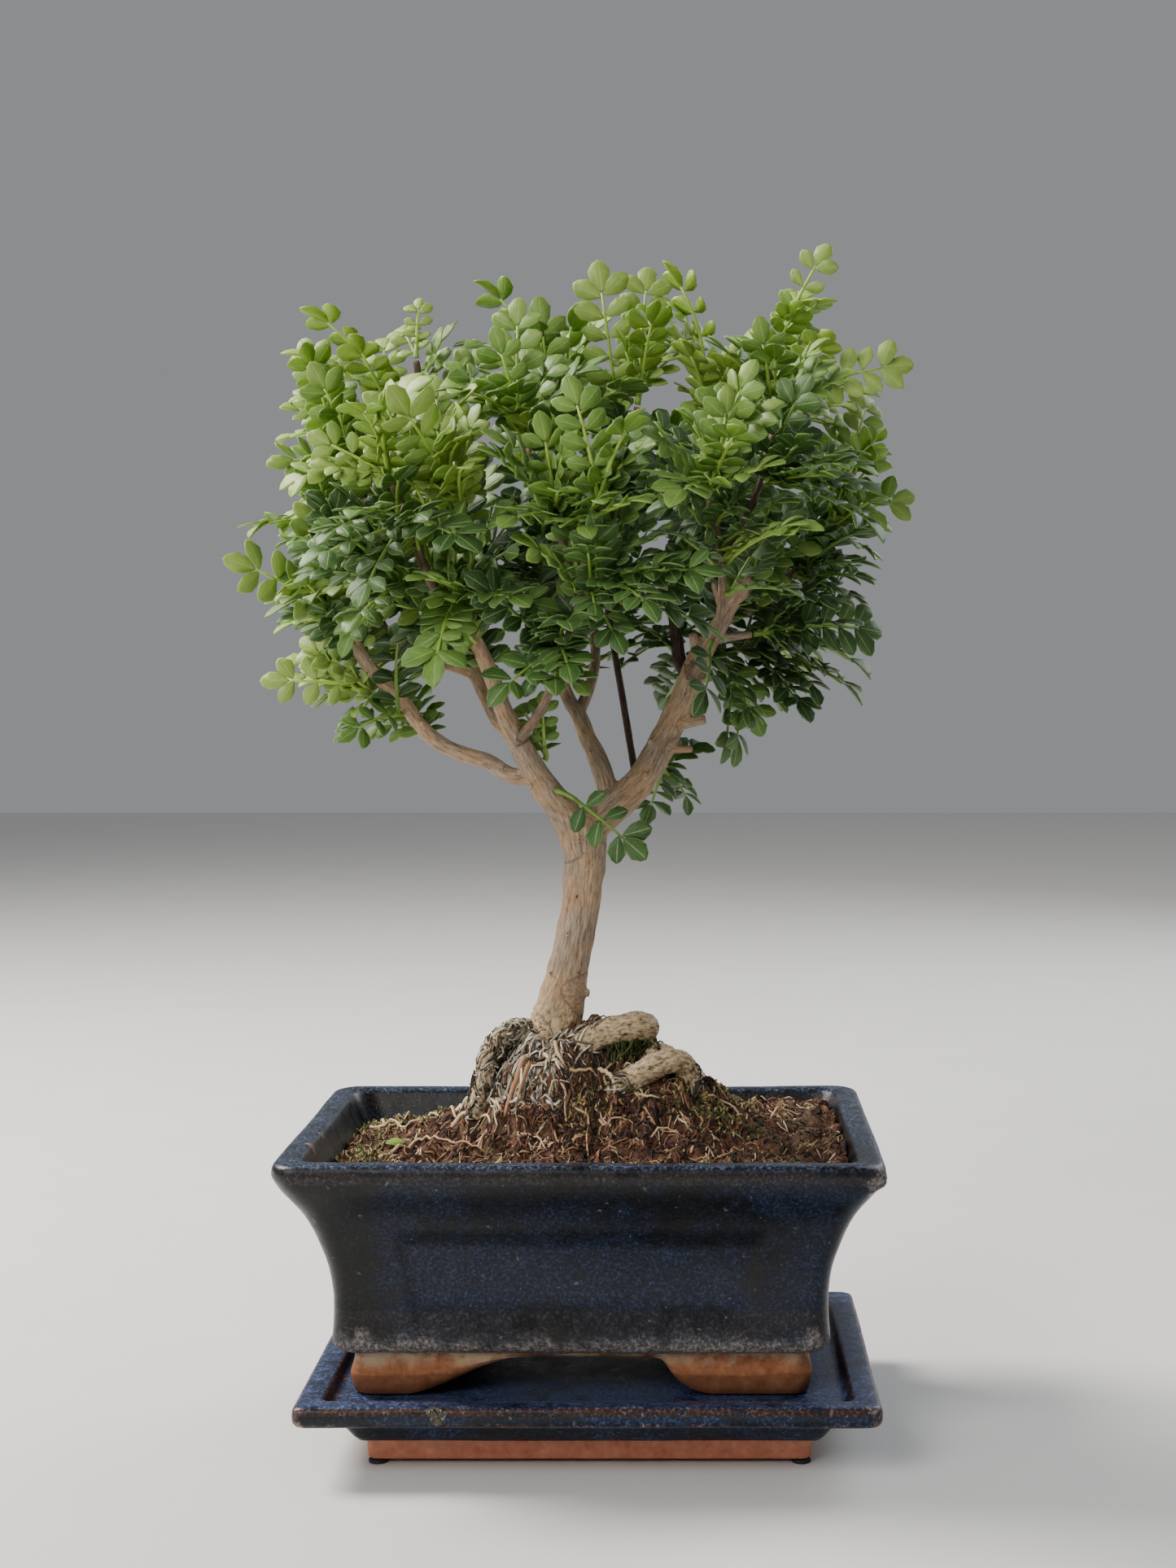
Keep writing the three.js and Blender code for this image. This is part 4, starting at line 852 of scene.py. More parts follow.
# Roots that show on the soil, as pixels of the photo from end to end, with the radius and the tint
seenRoots = [
    ([(646, 1302), (637, 1329), (628, 1352), (620, 1377)], 1.15, 0.45),
    ([(652, 1310), (648, 1322), (640, 1345), (636, 1359)], 0.95, 0.42),
    ([(560, 1368), (566, 1362), (577, 1359), (590, 1362), (602, 1356), (612, 1362), (618, 1368)], 0.75,
     0.95),
    ([(555, 1387), (563, 1379), (575, 1372), (584, 1376), (592, 1379), (600, 1376), (603, 1386)], 0.75,
     0.95),
    ([(689, 1334), (695, 1349), (694, 1364), (697, 1386)], 0.5, 0.75),
    ([(674, 1349), (679, 1338), (689, 1334), (704, 1336)], 0.5, 0.8),
    ([(704, 1359), (714, 1370), (723, 1379), (721, 1399), (723, 1426)], 0.5, 0.55),
    ([(736, 1377), (744, 1387), (759, 1379), (779, 1379)], 0.45, 0.7),
    ([(736, 1318), (747, 1327), (755, 1339), (755, 1349)], 0.9, 0.8),
    ([(754, 1327), (769, 1337), (785, 1341), (791, 1352)], 0.6, 0.75),
    ([(669, 1299), (682, 1309), (694, 1321)], 0.75, 0.85),
    ([(679, 1282), (687, 1304), (696, 1321)], 0.85, 0.7),
    ([(700, 1318), (716, 1324), (730, 1322)], 0.7, 0.6),
    ([(828, 1317), (836, 1329), (846, 1341)], 1.1, 0.4),
    ([(833, 1377), (842, 1387), (848, 1396)], 0.4, 0.9),
    ([(466, 1424), (490, 1413), (514, 1406), (534, 1402), (552, 1405)], 0.7, 0.7),
    ([(550, 1402), (574, 1410), (596, 1419)], 0.5, 0.5),
    ([(514, 1378), (535, 1373), (555, 1366), (575, 1355), (598, 1345)], 0.6, 0.75),
    ([(455, 1385), (480, 1381), (505, 1384), (525, 1380)], 0.5, 0.85),
    ([(470, 1366), (490, 1371), (512, 1372)], 0.5, 0.75),
    ([(604, 1292), (600, 1310), (602, 1325), (608, 1340)], 0.8, 0.8),
    ([(612, 1300), (607, 1322), (596, 1338), (588, 1346)], 0.6, 0.9),
    ([(588, 1412), (592, 1404), (595, 1398), (590, 1421)], 0.5, 0.7),
    ([(660, 1319), (666, 1335), (676, 1345)], 0.6, 0.6),
    ([(757, 1307), (748, 1316), (742, 1330), (750, 1341)], 0.5, 0.65),
    ([(780, 1345), (800, 1352), (822, 1349)], 0.5, 0.8),
    ([(865, 1352), (890, 1360), (912, 1371)], 0.5, 0.7),
    ([(930, 1372), (955, 1366), (985, 1369)], 0.5, 0.75),
    ([(640, 1395), (660, 1402), (672, 1414)], 0.45, 0.7),
    ([(800, 1400), (820, 1392), (838, 1398)], 0.45, 0.7),
]


# Where loose bits may lie: inside the pot and clear of the trunk
def soilSpot(rng):
    while True:
        x, y = rng.uniform(-67, 68), rng.uniform(-52, 51)
        if fromTrunk(x, y) > 9.5:
            return x, y


def slopeSpot(rng):
    while True:
        x, y = rng.gauss(2, 20), rng.gauss(-14, 12)
        if fromTrunk(x, y) > 9 and abs(x) < 67 and abs(y) < 52:
            return x, y


def matSpot(rng):
    while True:
        x, y = rng.gauss(-16, 7), rng.gauss(-6, 9)
        if fromTrunk(x, y) > 8.5 and soilHeight(x, y) > rng.uniform(84, 93):
            return x, y


# The route of a bent bit that lies on the soil: its ends touch it and its middle stands a little proud
def bitRoute(x, y, length, radius, rise, rng):
    heading = rng.uniform(0, math.tau)
    bend = rng.uniform(-0.9, 0.9)
    left, right, front, back = soilSize["bitLimits"]
    route = []
    for k in range(4):
        share = k / 3
        lift = radius * 0.5 + rise * length * math.sin(math.pi * share)
        thick = radius * (1 - 0.6 * abs(2 * share - 1)) * rng.uniform(0.7, 1.2)
        route.append([x, y, soilSurface(x, y) + lift, thick])
        x = min(max(x + length / 3 * math.cos(heading), left), right)
        y = min(max(y + length / 3 * math.sin(heading), front), back)
        heading += bend
    return route


# Small bits are many and large ones few, and their tint drifts from place to place
def makeLitter(name, look, chooseSpot, seed):
    rng = random.Random(seed)
    tubes = []
    for _ in range(look["count"]):
        x, y = chooseSpot(rng)
        share = rng.random() ** 2.2
        length, radius = [low + (high - low) * share * rng.uniform(0.7, 1)
                          for low, high in (look["length"], look["radius"])]
        tint = rng.betavariate(*look["spread"]) + 0.3 * noise.noise(Vector((x, y, seed)) * 0.09)
        rise = rng.uniform(*look["rise"])
        tubes.append((bitRoute(x, y, length, radius, rise, rng), min(max(tint, 0), 1)))
    finishTubes(name, tubes, 3, look["colours"], 0.95, 20)


# Curly rootlets on the soil
def makeRootlets():
    rng = random.Random(25)
    look = peatLook["rootlets"]
    shares = [patch[4] for patch in look["patches"]]
    tubes = []
    while len(tubes) < look["count"]:
        middleX, middleY, reachX, reachY, _ = rng.choices(look["patches"], shares)[0]
        x, y = middleX + rng.gauss(0, 0.5) * reachX, middleY + rng.gauss(0, 0.5) * reachY
        heading = rng.uniform(0, math.tau)
        radius, step = rng.uniform(*look["radius"]), rng.uniform(*look["step"])
        route = []
        for k in range(8):
            if abs(x) > 67.5 or abs(y) > 51.5 or fromTrunk(x, y) < 8.5:
                break
            lift = radius * 0.6 + rng.uniform(0, 0.5)
            route.append([x, y, soilSurface(x, y) + lift, radius * (1 - 0.06 * k)])
            heading += rng.gauss(0, 0.55)
            x, y = x + step * math.cos(heading), y + step * math.sin(heading)
        if len(route) == 8:
            tubes.append((route, rng.betavariate(1.6, 1.6)))
    finishTubes("rootlets", tubes, 4, peatLook["rootColours"], 0.75)


def finishTubes(name, tubes, sides, colours, roughness, sharpAngle=None):
    bm = bmesh.new()
    layers = {"tint": bm.verts.layers.float.new("tint")}
    for size in sorted({len(route) for route, _ in tubes}):
        addTubes(bm, [tube for tube in tubes if len(tube[0]) == size], sides, layers)
    closeTubes(bm)
    finishPiece(bm, name, [fibreMaterial(name + "_look", colours, roughness)], (), sharpAngle)


def makeSeenRoots():
    tubes = []
    for pixels, radius, tint in seenRoots:
        places = [seenOnSoil(*pixel) for pixel in pixels]
        route = smoothLine([[*place, radius] for place in places], 4)
        for k, point in enumerate(route):
            share = k / (len(route) - 1)
            proud = radius * 0.4 + (radius * 0.5 + 0.7) * math.sin(math.pi * share)
            point[2] = soilSurface(point[0], point[1]) + proud
            point[3] = radius * (0.88 - 0.5 * share)
        tubes.append((route, tint))
    finishTubes("fine_roots", tubes, 6, peatLook["rootColours"], 0.7)


# Moss: short upright blades in patches
def makeMoss():
    rng = random.Random(5)
    tubes = []
    patches = peatLook["mossPatches"]
    weights = [patch[4] for patch in patches]
    while len(tubes) < peatLook["mossBlades"]:
        x, y, reachX, reachY, _ = rng.choices(patches, weights)[0]
        x, y = x + rng.gauss(0, 0.5) * reachX, y + rng.gauss(0, 0.5) * reachY
        if abs(x) > 68 or abs(y) > 52 or fromTrunk(x, y) < 8:
            continue
        foot = Vector((x, y, soilSurface(x, y) - 0.2))
        lean = Vector((rng.gauss(0, 0.6), rng.gauss(0, 0.6), 1)).normalized() * rng.uniform(0.7, 2.0)
        radius = rng.uniform(0.2, 0.42)
        middle = foot + lean * 0.5 + Vector((rng.gauss(0, 0.15), rng.gauss(0, 0.15), 0))
        tubes.append(([[*foot, radius], [*middle, radius], [*(foot + lean), radius * 0.4]], rng.random()))
    finishTubes("moss_tufts", tubes, 3, peatLook["mossColours"], 0.9)


makeLitter("peat_bits", peatLook["bits"], soilSpot, 21)
makeLitter("slope_bits", peatLook["slopeBits"], slopeSpot, 24)
makeLitter("peat_fibres", peatLook["fibres"], soilSpot, 22)
makeLitter("root_mat", peatLook["mat"], matSpot, 23)
makeSeenRoots()
makeRootlets()
makeMoss()


# Wood: the same limbs as the solid, as [x, y, z, radius] along the middle of each

limbs = {
    "trunk": [
        [-13, 2, 82, 9.2], [-11.5, 2, 93, 8.4], [-9.8, 2, 102, 7.4], [-7.7, 1, 110.5, 6.6],
        [-6, 0.5, 118, 5.7], [-4.3, 0, 126, 5.2], [-2.6, 0, 135, 5.1], [-1.3, 0, 145, 5.3],
        [-0.7, 0, 153, 5.7], [-0.8, 0, 160, 5.8], [-1, 0, 164, 4.6]],
    "leftLimb": [
        [-1.6, 0, 152, 4.3], [-5.6, -1.2, 163, 4.2], [-10.5, -4, 169.7, 3.8], [-14.5, -7, 176.4, 3.4],
        [-18.3, -10, 183.8, 2.9], [-21.3, -13, 190.4, 2.5], [-25.6, -19, 203.3, 2.1],
        [-29.9, -24, 213.5, 1.8]],
    "frontLeftTwig": [
        [-29.6, -23.5, 212.5, 1.5], [-34, -29, 217, 1.4], [-39.7, -37, 227.3, 1.3], [-43.3, -44, 239, 1.2],
        [-47, -50, 249.8, 1]],
    "frontTwig": [
        [-29.6, -23.5, 212.5, 1.5], [-30.4, -28, 221.3, 1.3], [-29.1, -33, 232, 1.1], [-30, -38, 241, 0.9]],
    "backLeftLimb": [
        [-17.5, -9, 182.5, 2], [-24.9, 4, 189.5, 2.1], [-31.8, 14, 201.8, 2], [-38.1, 20, 217.7, 1.6],
        [-44, 22, 243, 1.3], [-47.5, 22, 268.4, 1.1], [-49.1, 20, 290.5, 1]],
    "lowLimb": [
        [-12.5, -6, 174, 2.3], [-20.4, -5, 174.4, 2.2], [-27, -3, 178, 2.1], [-34.8, 0, 180.2, 2.1],
        [-41.5, 2, 183.5, 2.1], [-47.5, 4, 189.3, 2], [-52.5, 5, 196, 2], [-58.2, 4, 201.6, 1.9],
        [-62.9, 2, 208.3, 1.9], [-65.5, 0, 214.1, 1.8]],
    "upperLeftLimb": [
        [-32, 14, 202, 1.8], [-38.5, 15, 204.5, 1.8], [-47.7, 15, 207.5, 1.8], [-56.6, 18, 212.8, 1.8],
        [-66.3, 20, 220.5, 1.7]],
    "darkLeftTwig": [[-46, 15, 207, 1.2], [-50, 17, 215.3, 1.1], [-55.5, 18, 225, 0.9]],
    "uprightLeftTwig": [[-57, 18, 213, 1.3], [-60.1, 18, 220.9, 1.2], [-60.5, 18, 237.6, 1.1],
                        [-60.5, 16, 263.9, 0.9]],
    "cornerTwig": [[-65.8, 20, 220, 1.3], [-64.8, 24, 243, 1.2], [-65.2, 24, 267.9, 1.1],
                   [-68.7, 24, 275.6, 1.1]],
    "middleLimb": [
        [3, 1, 162, 2.9], [5.2, 3, 168, 2.9], [4.7, 4, 172.7, 2.8], [2.1, 8, 179.3, 2.6],
        [-0.5, 11, 184.2, 2.4], [-3.1, 14, 190.7, 2.2], [-6.7, 17, 196.5, 1.9], [-12, 22, 215.5, 1.5],
        [-13, 26, 235, 1.2], [-10, 28, 256, 1], [-7, 28, 276, 0.9]],
    "middleBackLimb": [
        [-3.1, 14, 190.7, 1.8], [1, 30, 206, 1.5], [-2, 44, 226, 1.3], [-6, 52, 250, 1.1],
        [-8, 56, 268, 0.9]],
    "rightLimb": [
        [-1.2, 0, 153, 4.4], [0.5, 0.3, 159, 4.6], [5.4, 1, 164.3, 4.5], [11.5, 2, 169.6, 4.3],
        [15.8, 3, 174.6, 4.1], [19.8, 4, 181.9, 3.9], [22.9, 5, 188.4, 3.7], [26.3, 5, 195.1, 3.6],
        [28.7, 5, 201.6, 3.5], [30.7, 5, 206.8, 3.2], [33.6, 4, 211.5, 2.6], [36.3, 3, 215.7, 2.4],
        [39.4, 2, 221.5, 2.3], [45.2, 0, 228.1, 2.2]],
    "darkRightLimb": [
        [27.5, 6, 201, 2], [24.9, 12, 207, 1.9], [23.9, 16, 218, 1.8], [24.2, 18, 226.4, 1.8],
        [27.4, 20, 243, 1.6], [35.5, 24, 264, 1.3], [41, 24, 275, 1.1], [46.3, 24, 281, 1],
        [51.6, 24, 292.6, 0.9]],
    "darkThinTwig": [
        [13.4, 4, 171, 1], [11.4, 14, 181.6, 1], [8.7, 22, 196.6, 1], [4.8, 30, 218.2, 0.9],
        [3.2, 34, 232, 0.9], [5, 36, 246.3, 0.8]],
    "rightTwig": [
        [36.3, 3, 215.7, 1.4], [48, 14, 222, 1.3], [58, 24, 232, 1.1], [66, 30, 245, 1],
        [70, 33, 258, 0.9]],
    "lowRightTwig": [[30.5, 5, 205.5, 1.4], [38, 22, 208, 1.2], [48, 36, 211, 1], [58, 46, 214, 0.9]],
    "frontRightTwig": [
        [28.7, 5, 201.6, 1.5], [33, -10, 208, 1.3], [36, -24, 218, 1.2], [36, -36, 232, 1],
        [33, -44, 246, 0.9]],
    "frontMiddleTwig": [
        [-18.3, -10, 183.8, 1.5], [-11, -24, 193, 1.3], [-5, -38, 206, 1.2], [0, -50, 220, 1],
        [2, -58, 236, 0.9]],
    "backLeftTwig": [[-38.5, 15, 204.5, 1.3], [-44, 30, 214, 1.1], [-50, 44, 229, 1], [-55, 54, 246, 0.9]],
    "backRightTwig": [[24.2, 18, 226.4, 1.3], [28, 36, 238, 1.1], [34, 50, 252, 1], [40, 58, 266, 0.9]],
    "backTwig": [[-2, 44, 226, 1.1], [6, 58, 238, 1], [14, 66, 252, 0.9]],
    "crownTwig": [[5, 36, 246, 0.9], [10, 30, 262, 0.9], [13, 26, 278, 0.9]],
    "frontCrownTwig": [[0, -50, 220, 1], [-6, -44, 240, 1], [-14, -36, 260, 0.9]],
    "rightFrontCrownTwig": [[36, -36, 232, 1], [45, -30, 248, 0.9], [50, -20, 266, 0.9]],
    "trunkNub": [[-5, 0, 116.5, 1.6], [0.6, -1, 114.6, 1]],
    "leftStub": [[-23, -15, 196, 1.2], [-19.8, -15, 198.6, 1.1]],
    "rightStubLow": [[21, 4, 181.5, 1.5], [28.8, 4, 181.3, 1]],
    "rightStubMiddle": [[24, 5, 188, 1.8], [32.4, 5, 189.4, 1.3]],
    "rightStubHigh": [[30.2, 5, 205.5, 1.6], [28.7, 3, 213.2, 1.2]],
    "rightStubTip": [[37, 3, 219, 1.2], [34.4, 2, 227.2, 0.9]],
    "rightStubSide": [[34, 4, 211.5, 1.5], [45, 8, 213, 1.1]],
    "upperLoopRoot": [
        [-9, -5, 92, 3.4], [-3, -7.5, 99.6, 3.4], [3.2, -8, 104, 3.4], [9.6, -8, 106, 3.4],
        [14.2, -6, 106.4, 3.3], [16, -1, 105, 3], [13, 4, 104.6, 2.7], [6, 6, 104.8, 2.5],
        [-4, 5, 103, 2.5]],
    "lowerLoopRoot": [
        [-7, -5, 84, 3.2], [4, -13, 87.5, 3.2], [11.9, -14.5, 93, 3.2], [17.8, -15.5, 96.6, 3.2],
        [22.8, -15.5, 98.6, 3.2], [26.6, -13, 97, 3.1], [28.4, -11, 91, 3], [28.8, -10, 82, 2.8]],
    "backLoopRoot": [
        [-6, 0, 88, 2.4], [4, -2, 92.5, 2.4], [13.9, -4, 98, 2.4], [20.7, -6.5, 99.4, 2.4],
        [24, -12, 98, 2.4]],
    "leftRoot": [
        [-13, 0, 103, 2.8], [-19.5, -2, 104.2, 2.7], [-24, -4.5, 102, 2.6], [-26.4, -7.5, 97.5, 2.6],
        [-28, -10, 91, 2.6], [-29.4, -12, 82, 2.4]],
}
woodLook = {
    "thick": ["trunk", "leftLimb", "backLeftLimb", "lowLimb", "upperLeftLimb", "middleLimb", "rightLimb",
              "darkRightLimb", "trunkNub", "leftStub", "rightStubLow", "rightStubMiddle", "rightStubHigh",
              "rightStubTip", "rightStubSide", "upperLoopRoot", "lowerLoopRoot", "backLoopRoot",
              "leftRoot"],
    "roots": ["upperLoopRoot", "lowerLoopRoot", "backLoopRoot", "leftRoot"],
    "voxel": 0.5,
    "smoothing": 3,
    # the thickest that a twig gets
    "twigRadius": 1.65,
    "thornRadii": (1.3, 0.65, 0.2),
    # relief of the bark, as shares of a quarter of the limb's radius
    "ridges": 0.2,
    "lumps": 0.3,
    "cracks": 0.4,
    "crackWidth": 0.3,
    # how much thicker each loop is than the solid's, from point to point
    "girth": {"upperLoopRoot": [1.05, 1.1, 1.15, 1.2, 1.26, 1.28, 1.15, 1, 1],
              "lowerLoopRoot": [1.1, 1.15, 1.15, 1.12, 1.05, 1, 0.95, 0.9], "backLoopRoot": [1.05] * 5,
              "leftRoot": [1.1, 1.15, 1.1, 1.05, 1.05, 1.1]},
    # limb, count of the fibres that cling to it, from and to along it
    "clinging": [("leftRoot", 750, 0, 1), ("upperLoopRoot", 70, 0, 0.3), ("backLoopRoot", 90, 0, 0.8),
                 ("lowerLoopRoot", 110, 0, 0.3), ("lowerLoopRoot", 90, 0.8, 1), ("trunk", 150, 0.05, 0.19)],
    "hangingMoss": 220,
    # limb, place along it, turn round it in degrees, length
    "thorns": [
        ("lowLimb", 0.32, 250, 3.2), ("lowLimb", 0.52, 80, 2.2), ("lowLimb", 0.78, 200, 2.4),
        ("leftLimb", 0.3, 140, 2.2), ("leftLimb", 0.62, 20, 2.6), ("trunk", 0.42, 180, 2.2),
        ("trunk", 0.63, 10, 1.8), ("rightLimb", 0.3, 240, 2.4), ("rightLimb", 0.46, 60, 2.6),
        ("rightLimb", 0.62, 300, 2.2), ("middleLimb", 0.3, 200, 2), ("backLeftLimb", 0.3, 60, 2),
        ("rightLimb", 0.38, 180, 2), ("leftLimb", 0.8, 200, 2)],
}


def isTwig(name):
    isOther = name in woodLook["roots"] or "Stub" in name or name == "trunkNub"
    return not isOther and max(point[3] for point in limbs[name]) < woodLook["twigRadius"]


# Samples along every limb: the place, the frame round it and the distance along it
def sampleLimbs(names):
    samples = []
    for name in names:
        route = smoothLine(thickened(name), 12)
        gone = 0
        across = Vector((1, 0, 0))
        for i, point in enumerate(route):
            here = Vector(point[:3])
            after = Vector(route[min(i + 1, len(route) - 1)][:3])
            before = Vector(route[max(i - 1, 0)][:3])
            heading = (after - before).normalized()
            across = (across - heading * across.dot(heading)).normalized()
            samples.append({"name": name, "place": here, "heading": heading, "across": across,
                            "third": heading.cross(across), "gone": gone, "radius": point[3],
                            "end": i >= len(route) - 2})
            gone += (after - here).length
    return samples


def thickened(name):
    girths = woodLook["girth"].get(name, [1.04] * len(limbs[name]))
    return [[*point[:3], point[3] * girth] for point, girth in zip(limbs[name], girths)]


def addThorns(bm):
    thorns = []
    for name, share, turn, length in woodLook["thorns"]:
        route = limbs[name]
        along = share * (len(route) - 1)
        i = min(int(along), len(route) - 2)
        start, end = Vector(route[i]), Vector(route[i + 1])
        x, y, z, radius = start.lerp(end, along - i)
        heading = Vector((end - start)[:3]).normalized()
        side = heading.orthogonal().normalized()
        side.rotate(Matrix.Rotation(math.radians(turn), 3, heading))
        foot = Vector((x, y, z)) + side * (radius - 0.6)
        tip = foot + side * length + heading * 0.5
        points = (foot, foot.lerp(tip, 0.45), tip)
        thorns.append(([[*point, radius] for point, radius in zip(points, woodLook["thornRadii"])], 0))
    addTubes(bm, thorns, 6)


def makeWood():
    bm = bmesh.new()
    for name in woodLook["thick"]:
        addTubes(bm, [(smoothLine(thickened(name), 5), 0)], 14)
    addThorns(bm)
    closeTubes(bm)
    bm = withModifier(bm, "REMESH", mode="VOXEL", voxel_size=woodLook["voxel"])
    bm = withModifier(bm, "SMOOTH", factor=0.5, iterations=woodLook["smoothing"])
    thin = [name for name in limbs if name not in woodLook["thick"]]
    twigs = bmesh.new()
    for name in thin:
        addTubes(twigs, [(smoothLine(limbs[name], 6), 0)], 9)
    closeTubes(twigs)
    addMesh(bm, twigs)
    grain = bm.verts.layers.float_vector.new("grain")
    layers = {key: bm.verts.layers.float.new(key) for key in ("root", "twig", "cut", "damp")}
    samples = sampleLimbs(limbs)
    tree = KDTree(len(samples))
    for i, sample in enumerate(samples):
        tree.insert(sample["place"], i)
    tree.balance()
    bm.normal_update()
    normals = {vert: vert.normal.copy() for vert in bm.verts}
    for vert in bm.verts:
        nearest = min((samples[i] for _, i, _ in tree.find_n(vert.co, 4)),
                      key=lambda s: (vert.co - s["place"]).length - s["radius"])
        offset = vert.co - nearest["place"]
        side, third = offset.dot(nearest["across"]), offset.dot(nearest["third"])
        gone = nearest["gone"] + offset.dot(nearest["heading"])
        name = nearest["name"]
        vert[grain] = (side, third, gone)
        onRoot = name in woodLook["roots"]
        foot = smoothStep(116, 104, vert.co.z) if name == "trunk" else 0
        vert[layers["root"]] = 1 if onRoot else foot
        dark = smoothStep(215, 250, vert.co.z) * 0.8
        if name in ("darkRightLimb", "darkThinTwig", "darkLeftTwig"):
            dark = 1
        vert[layers["twig"]] = max(dark, 0.6 if isTwig(name) else 0) if not onRoot else 0
        damp = smoothStep(2, -7, vert.co.x + 14) if name == "trunk" else smoothStep(99, 88, vert.co.z)
        damp *= 0.3 if name == "leftRoot" else 1
        vert[layers["damp"]] = damp
        isEnd = nearest["end"] and offset.dot(nearest["heading"]) > 0
        isCut = isEnd and not onRoot and name != "trunk"
        vert[layers["cut"]] = 1 if isCut and normals[vert].dot(nearest["heading"]) > 0.5 else 0
        size = min(nearest["radius"] / 4, 1.3)
        stretch = 0.14 + 0.4 * vert[layers["root"]]
        ridges = noise.noise(Vector((side * 0.9, third * 0.9, gone * stretch)))
        lumps = noise.noise(vert.co * 0.22)
        crack = abs(noise.noise(Vector((side * 1.05, third * 1.05, gone * 0.8)) + Vector((7, 3, 1))))
        width = woodLook["crackWidth"]
        cleft = vert[layers["root"]] * size * woodLook["cracks"] * (width - min(crack, width)) / width
        proud = size * (woodLook["ridges"] * ridges + woodLook["lumps"] * lumps)
        vert.co += normals[vert] * (proud - cleft)
        if vert[layers["cut"]]:
            vert.co += nearest["heading"] * 0.7 * noise.noise(vert.co * 0.9)
    finishPiece(bm, "tree_wood", [bark], ["trunk"])


# The route of a fibre that hugs a limb: it creeps along the limb and round it
def huggingRoute(samples, first, last, rng):
    i = (first + (last - first) * rng.random()) * (len(samples) - 1)
    turn = rng.uniform(0, math.tau)
    creep, twist = rng.uniform(-2.5, 2.5), rng.uniform(-0.35, 0.35)
    radius, proud = rng.uniform(0.22, 0.5), rng.uniform(0, 0.8)
    route = []
    for k in range(4):
        sample = samples[min(max(round(i + creep * k), 0), len(samples) - 1)]
        out = sample["across"] * math.cos(turn + twist * k) + sample["third"] * math.sin(turn + twist * k)
        reach = sample["radius"] + 0.1 + proud * math.sin(math.pi * k / 3)
        route.append([*(sample["place"] + out * reach), radius * (1 - 0.15 * k)])
    gaps = [(Vector(a[:3]) - Vector(b[:3])).length for a, b in zip(route, route[1:])]
    return route if min(gaps) > 0.15 and route[0][2] > soilHeight(*route[0][:2]) - 1 else None


def makeClingingFibres():
    rng = random.Random(31)
    tubes = []
    for name, count, first, last in woodLook["clinging"]:
        samples = sampleLimbs([name])
        for _ in range(count):
            route = huggingRoute(samples, first, last, rng)
            bare = route and route[1][0] < samples[0]["place"].x - 8 and rng.random() < 0.6
            if route and not bare:
                tubes.append((route, rng.betavariate(1.2, 1.3)))
    finishTubes("clinging_fibres", tubes, 3, peatLook["mat"]["colours"], 0.95)


# Moss that hangs in the gap under the upper loop, down to the loop behind it
def makeHangingMoss():
    rng = random.Random(41)
    tubes = []
    samples = sampleLimbs(["upperLoopRoot"])
    for _ in range(woodLook["hangingMoss"]):
        sample = samples[int(rng.uniform(0.3, 0.82) * (len(samples) - 1))]
        start = sample["place"] + Vector((rng.gauss(0, 1.2), rng.gauss(0, 1.5), -0.7 * sample["radius"]))
        length = rng.uniform(1, 6)
        sway = Vector((rng.gauss(0, 0.45), rng.gauss(0, 0.45), 0)) * length
        radius = rng.uniform(0.3, 0.75)
        route = [[*(start + Vector((0, 0, -length * k / 3)) + sway * (k / 3) ** 2), radius * (1 - 0.2 * k)]
                 for k in range(4)]
        if route[-1][2] > soilHeight(*route[-1][:2]) - 2:
            tubes.append((route, 0.5 * rng.random()))
    finishTubes("hanging_moss", tubes, 3, peatLook["mossColours"], 0.95)


makeWood()
makeClingingFibres()
makeHangingMoss()


# Leaves: the same shoots as the solids, from the same rule, with more and finer leaflets and more leaves

